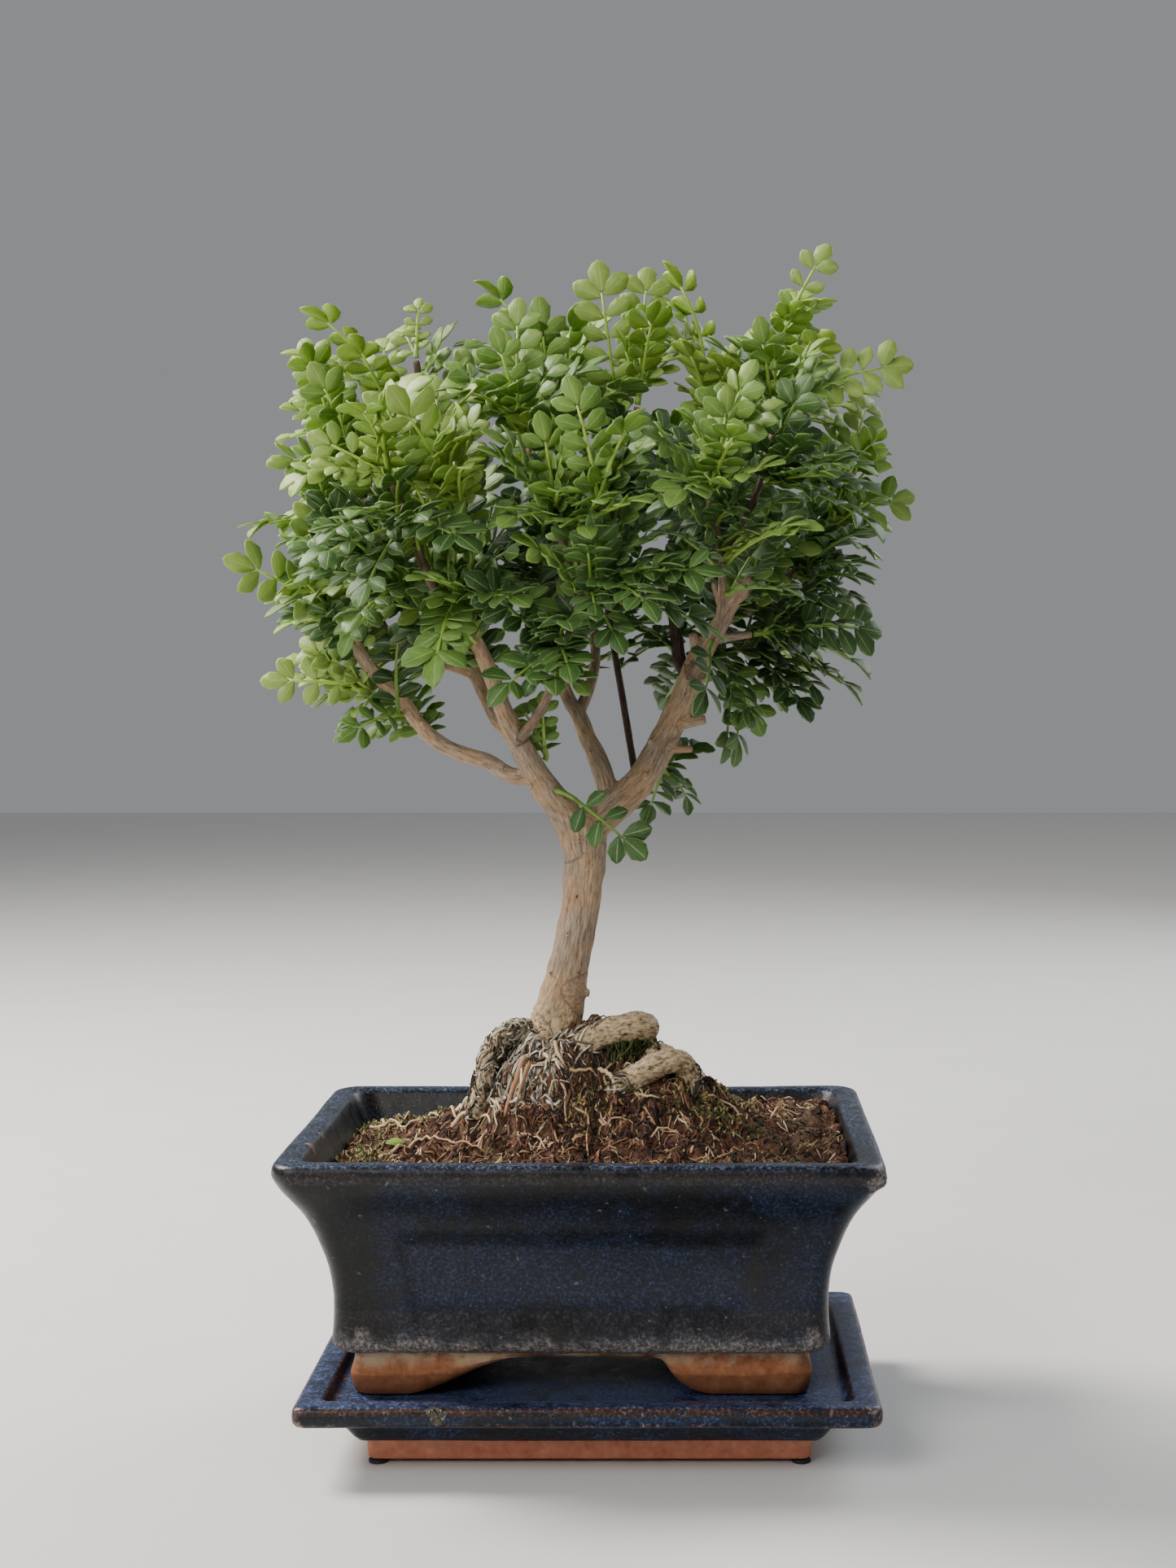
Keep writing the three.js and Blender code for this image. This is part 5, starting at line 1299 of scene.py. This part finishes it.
shoots = [
    ("lowLimb", 0.72, (-88, -6, 200), 1, "front", "bright"),
    ("lowLimb", 1, (-93, -30, 232), 1, "front", "bright"),
    ("cornerTwig", 0.3, (-90, -14, 240), 1, "up", "middle"),
    ("cornerTwig", 0.55, (-86, -6, 259), 1, "front", "bright"),
    ("cornerTwig", 0.85, (-84, 22, 279), 0, "front", "middle"),
    ("uprightLeftTwig", 0.9, (-76, 2, 287), 1, "front", "middle"),
    ("backLeftLimb", 0.84, (-79, 8, 304), 1, "up", "bright"),
    ("backLeftLimb", 1, (-49, 26, 309), 0, "front", "bright"),
    ("backLeftLimb", 0.7, (-32, 46, 298), 1, "front", "middle"),
    ("middleLimb", 1, (-32, 24, 314), 1, "up", "middle"),
    ("middleLimb", 0.94, (-14, 8, 306), 1, "front", "middle"),
    ("crownTwig", 0.6, (2, 18, 318), 0, "front", "bright"),
    ("crownTwig", 1, (16, 34, 319), 0, "front", "bright"),
    ("darkRightLimb", 0.7, (21, 8, 316), 1, "outward", "bright"),
    ("darkRightLimb", 1, (67, 20, 323), 0, "front", "bright"),
    ("darkRightLimb", 0.8, (91, 24, 290), 1, "front", "bright"),
    ("rightTwig", 1, (84, 30, 272), 1, "outward", "middle"),
    ("rightTwig", 0.72, (92, 28, 253), 1, "front", "middle"),
    ("rightTwig", 0.45, (81, 16, 232), 1, "up", "dark"),
    ("rightStubSide", 1, (82, 20, 214), 1, "front", "dark"),
    ("lowRightTwig", 0.5, (76, 14, 194), 1, "up", "dark"),
    ("lowRightTwig", 0.3, (48, 14, 185), 0, "front", "middle"),
    ("rightLimb", 0.34, (28, 20, 163), 0, "up", "middle"),
    ("leftLimb", 0.3, (16, -18, 153), 0, "front", "dark"),
    ("leftLimb", 0.42, (-12, -6, 197), 0, "front", "bright"),
    ("lowLimb", 0.6, (-66, -14, 184), 1, "front", "dark"),
    ("lowLimb", 0.5, (-62, 22, 187), 0, "outward", "middle"),
    ("frontLeftTwig", 0.5, (-80, -44, 217), 1, "up", "dark"),
    ("frontTwig", 1, (-45, -72, 271), 1, "front", "bright"),
    ("frontLeftTwig", 0.35, (-12, -66, 219), 1, "up", "middle"),
    ("frontLeftTwig", 1, (-68, -52, 262), 1, "front", "bright"),
    ("frontCrownTwig", 0.5, (-4, -76, 246), 0, "up", "middle"),
    ("frontLeftTwig", 0.8, (-54, -78, 240), 1, "up", "dark"),
    ("frontMiddleTwig", 1, (16, -76, 266), 1, "up", "middle"),
    ("frontCrownTwig", 1, (-22, -44, 290), 2, "front", "middle"),
    ("frontMiddleTwig", 0.55, (-22, -56, 195), 1, "outward", "dark"),
    ("frontMiddleTwig", 0.8, (26, -72, 228), 1, "up", "dark"),
    ("frontRightTwig", 0.6, (56, -46, 222), 1, "outward", "dark"),
    ("frontRightTwig", 1, (40, -72, 262), 2, "up", "middle"),
    ("rightFrontCrownTwig", 0.6, (74, -34, 260), 1, "up", "dark"),
    ("rightFrontCrownTwig", 1, (46, -34, 294), 1, "front", "middle"),
    ("frontRightTwig", 0.35, (30, -40, 192), 0, "outward", "dark"),
    ("middleLimb", 0.72, (-18, -8, 262), 1, "up", "dark"),
    ("backLeftTwig", 1, (-70, 64, 262), 1, "outward", "middle"),
    ("backLeftTwig", 0.55, (-74, 46, 226), 1, "up", "dark"),
    ("middleBackLimb", 1, (-18, 72, 288), 2, "outward", "bright"),
    ("middleBackLimb", 0.55, (-28, 70, 232), 1, "outward", "dark"),
    ("backTwig", 1, (18, 78, 270), 1, "outward", "middle"),
    ("backRightTwig", 1, (56, 66, 282), 2, "outward", "bright"),
    ("backRightTwig", 0.55, (46, 70, 240), 1, "up", "dark"),
    ("lowRightTwig", 1, (76, 58, 226), 1, "outward", "dark"),
    ("rightFrontCrownTwig", 0.35, (20, -8, 270), 1, "up", "dark"),
]
leafRule = {
    "stemSeat": 0.7,
    "rachisHalfWidth": 0.6,
    "spotGap": 5.2,
    "ownSpotGap": 4.2,
    "woodGap": 2.6,
    "sideLeafLength": 33,
    "shortLeaf": 18,
    "longLeaf": 34,
    "canopyCentre": Vector((0, 0, 232)),
    "canopyLow": Vector((-91, -80, 150)),
    "canopyHigh": Vector((88, 77, 316)),
}
# Tints of the shoots' tones, which hold the leaves' own greens with painted light on bright shoots and
# painted shade on dark ones; the stems follow them
tintOfTone = {"bright": 0.8, "middle": 0.55, "dark": 0.3}


def randomStream(seed):
    state = seed

    def draw():
        nonlocal state
        state = (state * 1664525 + 1013904223) % 2 ** 32
        return state / 2 ** 32
    return draw


def limbPlace(name, share):
    route = limbs[name]
    place = share * (len(route) - 1)
    i = min(int(place), len(route) - 2)
    here = Vector(route[i]).lerp(Vector(route[i + 1]), place - i)
    heading = (Vector(route[i + 1][:3]) - Vector(route[i][:3])).normalized()
    return Vector(here[:3]), here[3], heading


def facing(side, point):
    if side == "front":
        return Vector((0, -1, 0.25))
    outward = point - leafRule["canopyCentre"]
    outward.z = 0
    outward.normalize()
    return up + outward * 0.3 if side == "up" else outward + Vector((0, 0, 0.5))


def bezier(stem, t):
    start, bend, end = stem
    return start * (1 - t) ** 2 + bend * 2 * t * (1 - t) + end * t ** 2


def bezierHeading(stem, t):
    start, bend, end = stem
    return ((bend - start) * (1 - t) + (end - bend) * t).normalized()


# The stem leaves its limb square to the bark, unless it carries on from the limb's end
def shootStem(limb, share, tip):
    point, radius, heading = limbPlace(limb, share)
    target = Vector(tip)
    aim = target - point
    square = (aim - heading * aim.dot(heading)).normalized()
    out = heading if share == 1 else square
    start = point + out * (leafRule["stemSeat"] + (0 if share == 1 else radius))
    reach = (target - start).length
    leafLength = min(max(reach * 0.7, 24), 38)
    end = start.lerp(target, max(reach - leafLength, 3) / reach)
    end.z += 0.05 * reach
    bend = start + out * (0.4 * (end - start).length)
    return start, bend, end


def leafFrame(leaf):
    chord = leaf["tip"] - leaf["base"]
    forward = chord.normalized()
    rise = (leaf["up"] - forward * leaf["up"].dot(forward)).normalized()
    return {"length": chord.length, "forward": forward, "up": rise, "right": forward.cross(rise)}


def leafPoint(leaf, axes, along, across, lift=0):
    share = min(max(along / axes["length"], 0), 1)
    rise = 4 * leaf["arch"] * axes["length"] * share * (1 - share) - abs(across) * leaf["fold"] + lift
    return leaf["base"] + axes["forward"] * along + axes["right"] * across + axes["up"] * rise


def leafletPairs(leaf, axes, pairs, leaflet):
    rib = axes["length"] - leaflet * 0.95
    found = []
    for i in range(pairs):
        share = i / (pairs - 1) if pairs > 1 else 1
        along = leaf["bare"] + (rib - 1 - leaf["bare"]) * share
        found.append((along, leaflet * (0.86 + 0.12 * share), 1.2 - 0.22 * share))
    return found


def leafSpots(leaf):
    axes = leafFrame(leaf)
    spots = []
    for along, length, lean in leafletPairs(leaf, axes, leaf["pairs"], leaf["leaflet"]):
        for side in (-1, 1):
            for share in (0.45, 0.9):
                across = side * (leafRule["rachisHalfWidth"] + share * length * math.sin(lean))
                spots.append(leafPoint(leaf, axes, along + share * length * math.cos(lean), across))
    for share in (0.35, 0.6, 0.84, 1):
        spots.append(leafPoint(leaf, axes, axes["length"] * share, 0))
    return spots


# Places taken by leaves and by wood, in cells of one size, so that a test looks only at what is near
cellSize = 6.0
takenCells = {}
woodCells = {}


def cellOf(point):
    return tuple(math.floor(value / cellSize) for value in point)


def takeSpots(points, shoot):
    for point in points:
        takenCells.setdefault(cellOf(point), []).append((point, shoot))


def fillWoodCells():
    for route in limbs.values():
        for first, second in zip(route, route[1:]):
            start, end, radius = Vector(first[:3]), Vector(second[:3]), second[3]
            margin = radius + leafRule["woodGap"] + 0.1
            low = cellOf(Vector(map(min, start, end)) - Vector((margin, margin, margin)))
            high = cellOf(Vector(map(max, start, end)) + Vector((margin, margin, margin)))
            for i in range(low[0], high[0] + 1):
                for j in range(low[1], high[1] + 1):
                    for k in range(low[2], high[2] + 1):
                        woodCells.setdefault((i, j, k), []).append((start, end, radius))


def clearOfWood(spot, gap):
    for start, end, radius in woodCells.get(cellOf(spot), ()):
        place, share = intersect_point_line(spot, start, end)
        nearest = start.lerp(end, min(max(share, 0), 1))
        if (spot - nearest).length <= radius + gap:
            return False
    return True


def clearOfLeaves(spot, shoot, gap, ownGap):
    i, j, k = cellOf(spot)
    for a in (i - 1, i, i + 1):
        for b in (j - 1, j, j + 1):
            for c in (k - 1, k, k + 1):
                for point, other in takenCells.get((a, b, c), ()):
                    if (spot - point).length <= (ownGap if other == shoot else gap):
                        return False
    return True


def hasRoom(leaf, shoot, gap, ownGap, woodGap):
    tip = leaf["tip"]
    low, high = leafRule["canopyLow"], leafRule["canopyHigh"]
    if any(tip[axis] < low[axis] or tip[axis] > high[axis] for axis in range(3)):
        return False
    return all(clearOfLeaves(spot, shoot, gap, ownGap) and clearOfWood(spot, woodGap)
               for spot in leafSpots(leaf))


def endLeaf(shoot, stem, draw):
    base = bezier(stem, 0.97)
    target = Vector(shoot[2])
    reach = (target - base).length
    arch = 0.05 + 0.06 * draw()
    pairs = 3 if shoot[5] == "bright" and reach > leafRule["longLeaf"] else 2
    leaflet = min(11 + 1.4 * draw(), reach * 0.42)
    draw()
    bare = 3 if reach < leafRule["shortLeaf"] else 5
    return {"base": base, "tip": target, "up": facing(shoot[4], stem[2]), "arch": arch, "fold": 0.12,
            "pairs": pairs, "leaflet": leaflet, "bare": bare}


def sideLeaf(stem, place, count, draw, shoot):
    share = (place + 0.9) / (count + 0.9)
    base = bezier(stem, share)
    heading = bezierHeading(stem, share)
    side = up.cross(heading).normalized()
    top = heading.cross(side)
    swing = (place + draw()) * 2.4
    length = leafRule["sideLeafLength"] * (0.88 + 0.24 * draw())
    leaflet = 11.4 + 1.4 * draw()
    for turn in range(13):
        angle = swing + (1 if turn % 2 else -1) * math.ceil(turn / 2) * 0.5
        out = side * math.cos(angle) + top * math.sin(angle)
        aim = (out * 0.85 + heading * 0.5).normalized()
        leaf = {"base": base, "tip": base + aim * length, "up": facing("up", base), "arch": 0.08,
                "fold": 0.15, "pairs": 2, "leaflet": leaflet, "bare": 7}
        if hasRoom(leaf, shoot, leafRule["spotGap"], leafRule["ownSpotGap"], leafRule["woodGap"]):
            return leaf
    return None


def growShoots():
    fillWoodCells()
    grown = []
    for index, shoot in enumerate(shoots):
        stem = shootStem(*shoot[:3])
        leaf = endLeaf(shoot, stem, randomStream(1000 + 37 * index))
        takeSpots([bezier(stem, share) for share in (0.3, 0.6, 0.9)], index)
        takeSpots(leafSpots(leaf), index)
        grown.append({"stem": stem, "leaves": [leaf], "tone": shoot[5]})
    for index, shoot in enumerate(shoots):
        draw = randomStream(5000 + 41 * index)
        for place in range(shoot[3]):
            leaf = sideLeaf(grown[index]["stem"], place, shoot[3], draw, index)
            if leaf:
                grown[index]["leaves"].append(leaf)
                takeSpots(leafSpots(leaf), index)
    return grown


fineLeaf = {
    "leafletShare": 0.74,
    "widthShare": 0.66,
    "stations": 5,
    "thickness": 0.3,
    "pairSpacing": 0.74,
    "extraGap": 2.0,
    "extraOwnGap": 1.7,
    "extraWoodGap": 0.9,
    "crownHalf": (88, 76, 86),
    "extraPerShoot": 14,
    "extraOnLimbs": 2,
    "extraLength": (15, 32),
    # limbs that show in the photo, and up to which height no added leaf hangs in front of them
    "openLimbs": {"trunk": 170, "leftLimb": 208, "lowLimb": 205, "middleLimb": 192, "rightLimb": 232},
    "openMargin": 3,
    "pixelsPerMm": 4.5,
    # the crown in the photo, in pixels, round which only the shoots themselves stick out
    "crownOutline": [(345, 395), (450, 410), (500, 395), (560, 390), (592, 350), (660, 352), (700, 385),
                     (742, 330), (800, 322), (870, 380), (935, 400), (965, 330), (1010, 300),
                     (1045, 335), (1020, 425), (1080, 425), (1122, 455), (1100, 560), (1124, 600),
                     (1085, 690), (1080, 780), (1062, 880), (945, 905), (885, 985), (850, 1000),
                     (770, 1040), (700, 990), (650, 930), (560, 935), (430, 925), (325, 845), (340, 780),
                     (275, 690), (320, 640), (330, 560), (350, 480)],
    "ribRadius": (0.62, 0.34),
    # how strongly an added leaf is drawn aside, along its stem, outwards and up
    "pull": (0.8, 0.45, 0.45, 0.15),
    # heights above which leaves grow from twigs, and above which none of them gets the dark tone of painted
    # shade
    "innerAbove": 200,
    "unshadedAbove": 280,
    "fallen": {"pixel": (474, 1415), "length": 5.2, "lift": 2.1, "tint": 0.85, "along": (1, 0.3, 0.12),
               "normal": (0, -0.5, 1)},
}


# One leaflet: a grid drawn into an obovate outline, folded along its midrib and curled down towards its tip
def addLeaflet(bm, layers, base, along, normal, length, tint, rng):
    along = along.normalized()
    normal = (normal - along * normal.dot(along)).normalized()
    across = along.cross(normal)
    width = length * fineLeaf["widthShare"] * rng.uniform(0.9, 1.1)
    curl = rng.uniform(0.02, 0.2)
    fold = rng.uniform(0.1, 0.4)
    twist = rng.uniform(-0.3, 0.3)
    made = bmesh.ops.create_grid(bm, x_segments=fineLeaf["stations"], y_segments=2, size=0.5, calc_uvs=True)
    for vert in made["verts"]:
        t = vert.co.x + 0.5
        w = vert.co.y * 2
        t = 0.5 - 0.5 * math.cos(math.pi * t)
        half = 0.5 * width * max(math.sin(math.pi * t ** 1.25), 0) ** 0.66
        sideways = w * half
        drop = -curl * length * t * t + fold * abs(sideways) + twist * sideways * t
        vert.co = base + along * (t * length) + across * sideways + normal * drop
        vert[layers["tint"]] = tint


def makeShootMesh(bm, layers, leaves, stems, rng):
    ribs = []
    for leaf in leaves:
        axes = leafFrame(leaf)
        leaflet = leaf["leaflet"] * fineLeaf["leafletShare"]
        pairs = max(round((axes["length"] - leaf["bare"]) / (leaflet * fineLeaf["pairSpacing"])), 3)
        tint = leaf["tint"]
        for along, length, lean in leafletPairs({**leaf, "bare": leaf["bare"] * 0.7}, axes, pairs, leaflet):
            place = leafPoint(leaf, axes, along, 0)
            ahead = leafPoint(leaf, axes, along + 1, 0)
            forward = (ahead - place).normalized()
            stagger = rng.uniform(-0.7, 0.7)
            for side in (-1, 1):
                out = forward * math.cos(lean) + axes["right"] * side * math.sin(lean)
                out += axes["up"] * rng.uniform(-0.12, 0.3)
                turned = axes["right"] * side * rng.uniform(-0.25, 0.45)
                normal = axes["up"] + turned + forward * rng.uniform(-0.3, 0.3)
                start = place + forward * stagger * side * 0.5 + axes["right"] * side * 0.35
                size = length * rng.uniform(0.88, 1.1)
                addLeaflet(bm, layers, start, out, normal, size, tint + rng.uniform(-0.06, 0.06), rng)
        end = axes["length"] - leaflet * 0.95
        place = leafPoint(leaf, axes, end, 0)
        ahead = leafPoint(leaf, axes, axes["length"], 0)
        addLeaflet(bm, layers, place, ahead - place, axes["up"], leaflet * 1.08, tint + 0.04, rng)
        thick, thin = fineLeaf["ribRadius"]
        rib = [[*leafPoint(leaf, axes, end * k / 5, 0, -0.15), thick + (thin - thick) * k / 5]
               for k in range(6)]
        ribs.append((rib, tint + 0.12))
    bmesh.ops.remove_doubles(bm, verts=bm.verts, dist=0.02)
    faces = bm.faces[:]
    made = bmesh.ops.solidify(bm, geom=faces, thickness=fineLeaf["thickness"])
    for part in made["geom"]:
        if isinstance(part, bmesh.types.BMFace):
            part.material_index = 1
    for tubes in (ribs, stems):
        if tubes:
            addTubes(bm, tubes, 5, layers, 2)
    bmesh.ops.remove_doubles(bm, verts=bm.verts, dist=0.001)


# Tint: painted light, brighter towards the top and the outside of the crown and low on its left, and
# painted shade, darker inside the crown and low down
def tintAt(point, tone, rng):
    out = point - leafRule["canopyCentre"]
    reach = math.sqrt(sum((away / half) ** 2 for away, half in zip(out, fineLeaf["crownHalf"])))
    # painted light and shade from the leaf's place in the crown
    light = 0.42 * (reach - 0.62) + 0.0018 * (point.z - 235)
    light += 0.16 * smoothStep(0, -45, point.x) * smoothStep(235, 205, point.z)
    return min(max(tintOfTone[tone] + light + rng.uniform(-0.1, 0.1), 0.04), 0.97)


# More leaves on each stem, set alternately, wherever they find room
def extraLeaves(stem, count, shoot, tone, rng):
    found = []
    for place in range(count):
        share = 0.12 + 0.85 * (place + rng.random()) / count
        base = bezier(stem, share)
        heading = bezierHeading(stem, share)
        leaf = tryLeaf(base, heading, shoot, place * 2.4 + rng.random(), rng)
        if leaf:
            leaf["tint"] = tintAt(leaf["tip"], tone, rng)
            found.append(leaf)
            takeSpots(leafSpots(leaf), shoot)
    return found


# The pixel of the photo at which a point shows
def seenAt(point):
    away = point - Vector(photo["cameraPlace"])
    axisX, axisY = photo["axisPixel"]
    scale = photo["focalPixels"] / away.y
    return axisX + away.x * scale, axisY - away.z * scale


# Whether a pixel lies inside an outline of pixels
def isInside(px, py, outline):
    inside = False
    for (x0, y0), (x1, y1) in zip(outline, outline[1:] + outline[:1]):
        if (y0 > py) != (y1 > py) and px < x0 + (py - y0) * (x1 - x0) / (y1 - y0):
            inside = not inside
    return inside


openPlaces = []
for name, top in fineLeaf["openLimbs"].items():
    for sample in sampleLimbs([name])[::3]:
        if sample["place"].z < top:
            reach = sample["radius"] * fineLeaf["pixelsPerMm"]
            openPlaces.append((*seenAt(sample["place"]), sample["place"].y, reach))


# An added leaf neither hides a limb that shows in the photo nor sticks out of the crown's outline
def spoilsPicture(leaf):
    margin = fineLeaf["openMargin"] * fineLeaf["pixelsPerMm"]
    for spot in leafSpots(leaf):
        px, py = seenAt(spot)
        if not isInside(px, py, fineLeaf["crownOutline"]):
            return True
        if any(spot.y < y and math.hypot(px - x, py - z) < radius + margin
               for x, z, y, radius in openPlaces):
            return True
    return False


def tryLeaf(base, heading, shoot, swing, rng):
    side = up.cross(heading)
    side = side.normalized() if side.length > 0.05 else Vector((1, 0, 0))
    top = heading.cross(side)
    outward = base - leafRule["canopyCentre"]
    outward.z *= 0.6
    aside, ahead, away, upwards = fineLeaf["pull"]
    for turn in range(9):
        angle = swing + turn * 2.4
        length = rng.uniform(*fineLeaf["extraLength"])
        out = side * math.cos(angle) + top * math.sin(angle)
        aim = out * aside + heading * ahead + outward.normalized() * away + up * upwards
        tip = base + aim.normalized() * length
        facingOut = up + outward.normalized() * rng.uniform(0, 0.9) + Vector((0, -0.35, 0))
        leaf = {"base": base, "tip": tip, "up": facingOut, "arch": rng.uniform(0.02, 0.12), "fold": 0.12,
                "pairs": 3, "leaflet": 6.5 + length * 0.12, "bare": length * 0.16}
        if not hasRoom(leaf, shoot, fineLeaf["extraGap"], fineLeaf["extraOwnGap"],
                       fineLeaf["extraWoodGap"]):
            continue
        if not spoilsPicture(leaf):
            return leaf
    return None


def startLeafMesh():
    bm = bmesh.new()
    bm.loops.layers.uv.new("UVMap")
    return bm, {"tint": bm.verts.layers.float.new("tint")}


def finishLeafMesh(bm, name, nodes=()):
    bmesh.ops.recalc_face_normals(bm, faces=bm.faces)
    return finishPiece(bm, name, [leafTop, leafUnder, leafStem], nodes)


def makeShoots():
    grown = growShoots()
    total = 0
    for index, shoot in enumerate(grown):
        rng = random.Random(900 + index)
        for leaf in shoot["leaves"]:
            leaf["tint"] = tintAt(leaf["tip"], shoot["tone"], rng)
        stem = shoot["stem"]
        extras = extraLeaves(stem, fineLeaf["extraPerShoot"], index, shoot["tone"], rng)
        leaves = shoot["leaves"] + extras
        total += len(leaves)
        stemTint = 0.35 + 0.5 * tintOfTone[shoot["tone"]]
        route = [[*bezier(stem, k / 8), 0.95 - 0.045 * k] for k in range(9)]
        bm, layers = startLeafMesh()
        makeShootMesh(bm, layers, leaves, [(route, stemTint)], rng)
        number = index + 1
        finishLeafMesh(bm, f"shoot_{number:02d}_leaves", [f"shoot_{number:02d}"])
    print("leaves on shoots", total)


# Leaves that grow straight from the twigs inside the crown
def makeInnerLeaves():
    rng = random.Random(77)
    groups = {"bright": [], "middle": [], "dark": []}
    for name, route in limbs.items():
        if name in woodLook["roots"] or "Stub" in name or name in ("trunk", "trunkNub"):
            continue
        for sample in sampleLimbs([name])[6::fineLeaf["extraOnLimbs"]]:
            if sample["place"].z < fineLeaf["innerAbove"]:
                continue
            leaf = tryLeaf(sample["place"] + sample["across"] * 0.2, sample["heading"], -1,
                           rng.uniform(0, 6), rng)
            if leaf:
                # painted shade: leaves low in the crown are more often given the dark tone
                isLow = leaf["tip"].z < fineLeaf["unshadedAbove"]
                tone = rng.choice(["dark", "dark", "middle", "bright"] if isLow else ["middle", "bright"])
                leaf["tint"] = tintAt(leaf["tip"], tone, rng)
                groups[tone].append(leaf)
                takeSpots(leafSpots(leaf), -1)
    for tone, leaves in groups.items():
        bm, layers = startLeafMesh()
        makeShootMesh(bm, layers, leaves, [], rng)
        finishLeafMesh(bm, f"inner_leaves_{tone}")
        print("inner leaves", tone, len(leaves))


# The one bright leaflet that has dropped on the peat behind the front rim
def makeFallenLeaf():
    look = fineLeaf["fallen"]
    bm, layers = startLeafMesh()
    place = seenOnSoil(*look["pixel"])
    place.z = soilSurface(place.x, place.y) + look["lift"]
    along, normal = Vector(look["along"]), Vector(look["normal"])
    addLeaflet(bm, layers, place, along, normal, look["length"], look["tint"], random.Random(3))
    bmesh.ops.solidify(bm, geom=bm.faces[:], thickness=fineLeaf["thickness"])
    bmesh.ops.remove_doubles(bm, verts=bm.verts, dist=0.001)
    finishLeafMesh(bm, "fallen_leaf")


makeShoots()
makeInnerLeaves()
makeFallenLeaf()


# Stage

stageLook = {
    "floorSize": 6,
    "floorTones": [(0.3, (0.7566, 0.7469, 0.7275)), (0.7, (0.78, 0.77, 0.75))],
    "worldColour": (0.9, 0.92, 0.95),
    "worldStrength": 0.3,
    # place and aim in metres, size, power in watts, colour
    "lights": [
        ((-0.85, 0.35, 1.0), (0, 0, 0.2), 0.5, 30, (1.0, 0.96, 0.89)),
        ((0.7, 0.9, 0.8), (0, 0, 0.22), 0.7, 8, (0.92, 0.96, 1.0)),
        ((-0.7, -1.1, 0.9), (0, 0, 0.17), 0.7, 15, (1.0, 0.98, 0.95)),
    ],
}


def makeStage():
    nodes = Nodes("paleFloor", 0.85)
    tone = nodes.noise(0.02, 3).ramp(stageLook["floorTones"])
    nodes.put(tone, nodes.shader.inputs["Base Color"])
    bm = bmesh.new()
    bmesh.ops.create_grid(bm, x_segments=2, y_segments=2, size=stageLook["floorSize"] / 2)
    mesh = bpy.data.meshes.new("floor")
    bm.to_mesh(mesh)
    bm.free()
    mesh.materials.append(nodes.material)
    floor = bpy.data.objects.new("floor", mesh)
    bpy.context.collection.objects.link(floor)
    world = bpy.data.worlds.new("studio")
    world.use_nodes = True
    background = world.node_tree.nodes["Background"]
    background.inputs["Color"].default_value = (*stageLook["worldColour"], 1)
    background.inputs["Strength"].default_value = stageLook["worldStrength"]
    bpy.context.scene.world = world
    for i, (place, aim, size, power, colour) in enumerate(stageLook["lights"]):
        data = bpy.data.lights.new(f"light_{i}", "AREA")
        data.size, data.energy, data.color = size, power, colour
        light = bpy.data.objects.new(f"light_{i}", data)
        light.location = place
        light.rotation_euler = (Vector(aim) - Vector(place)).to_track_quat("-Z", "Y").to_euler()
        bpy.context.collection.objects.link(light)


makeStage()
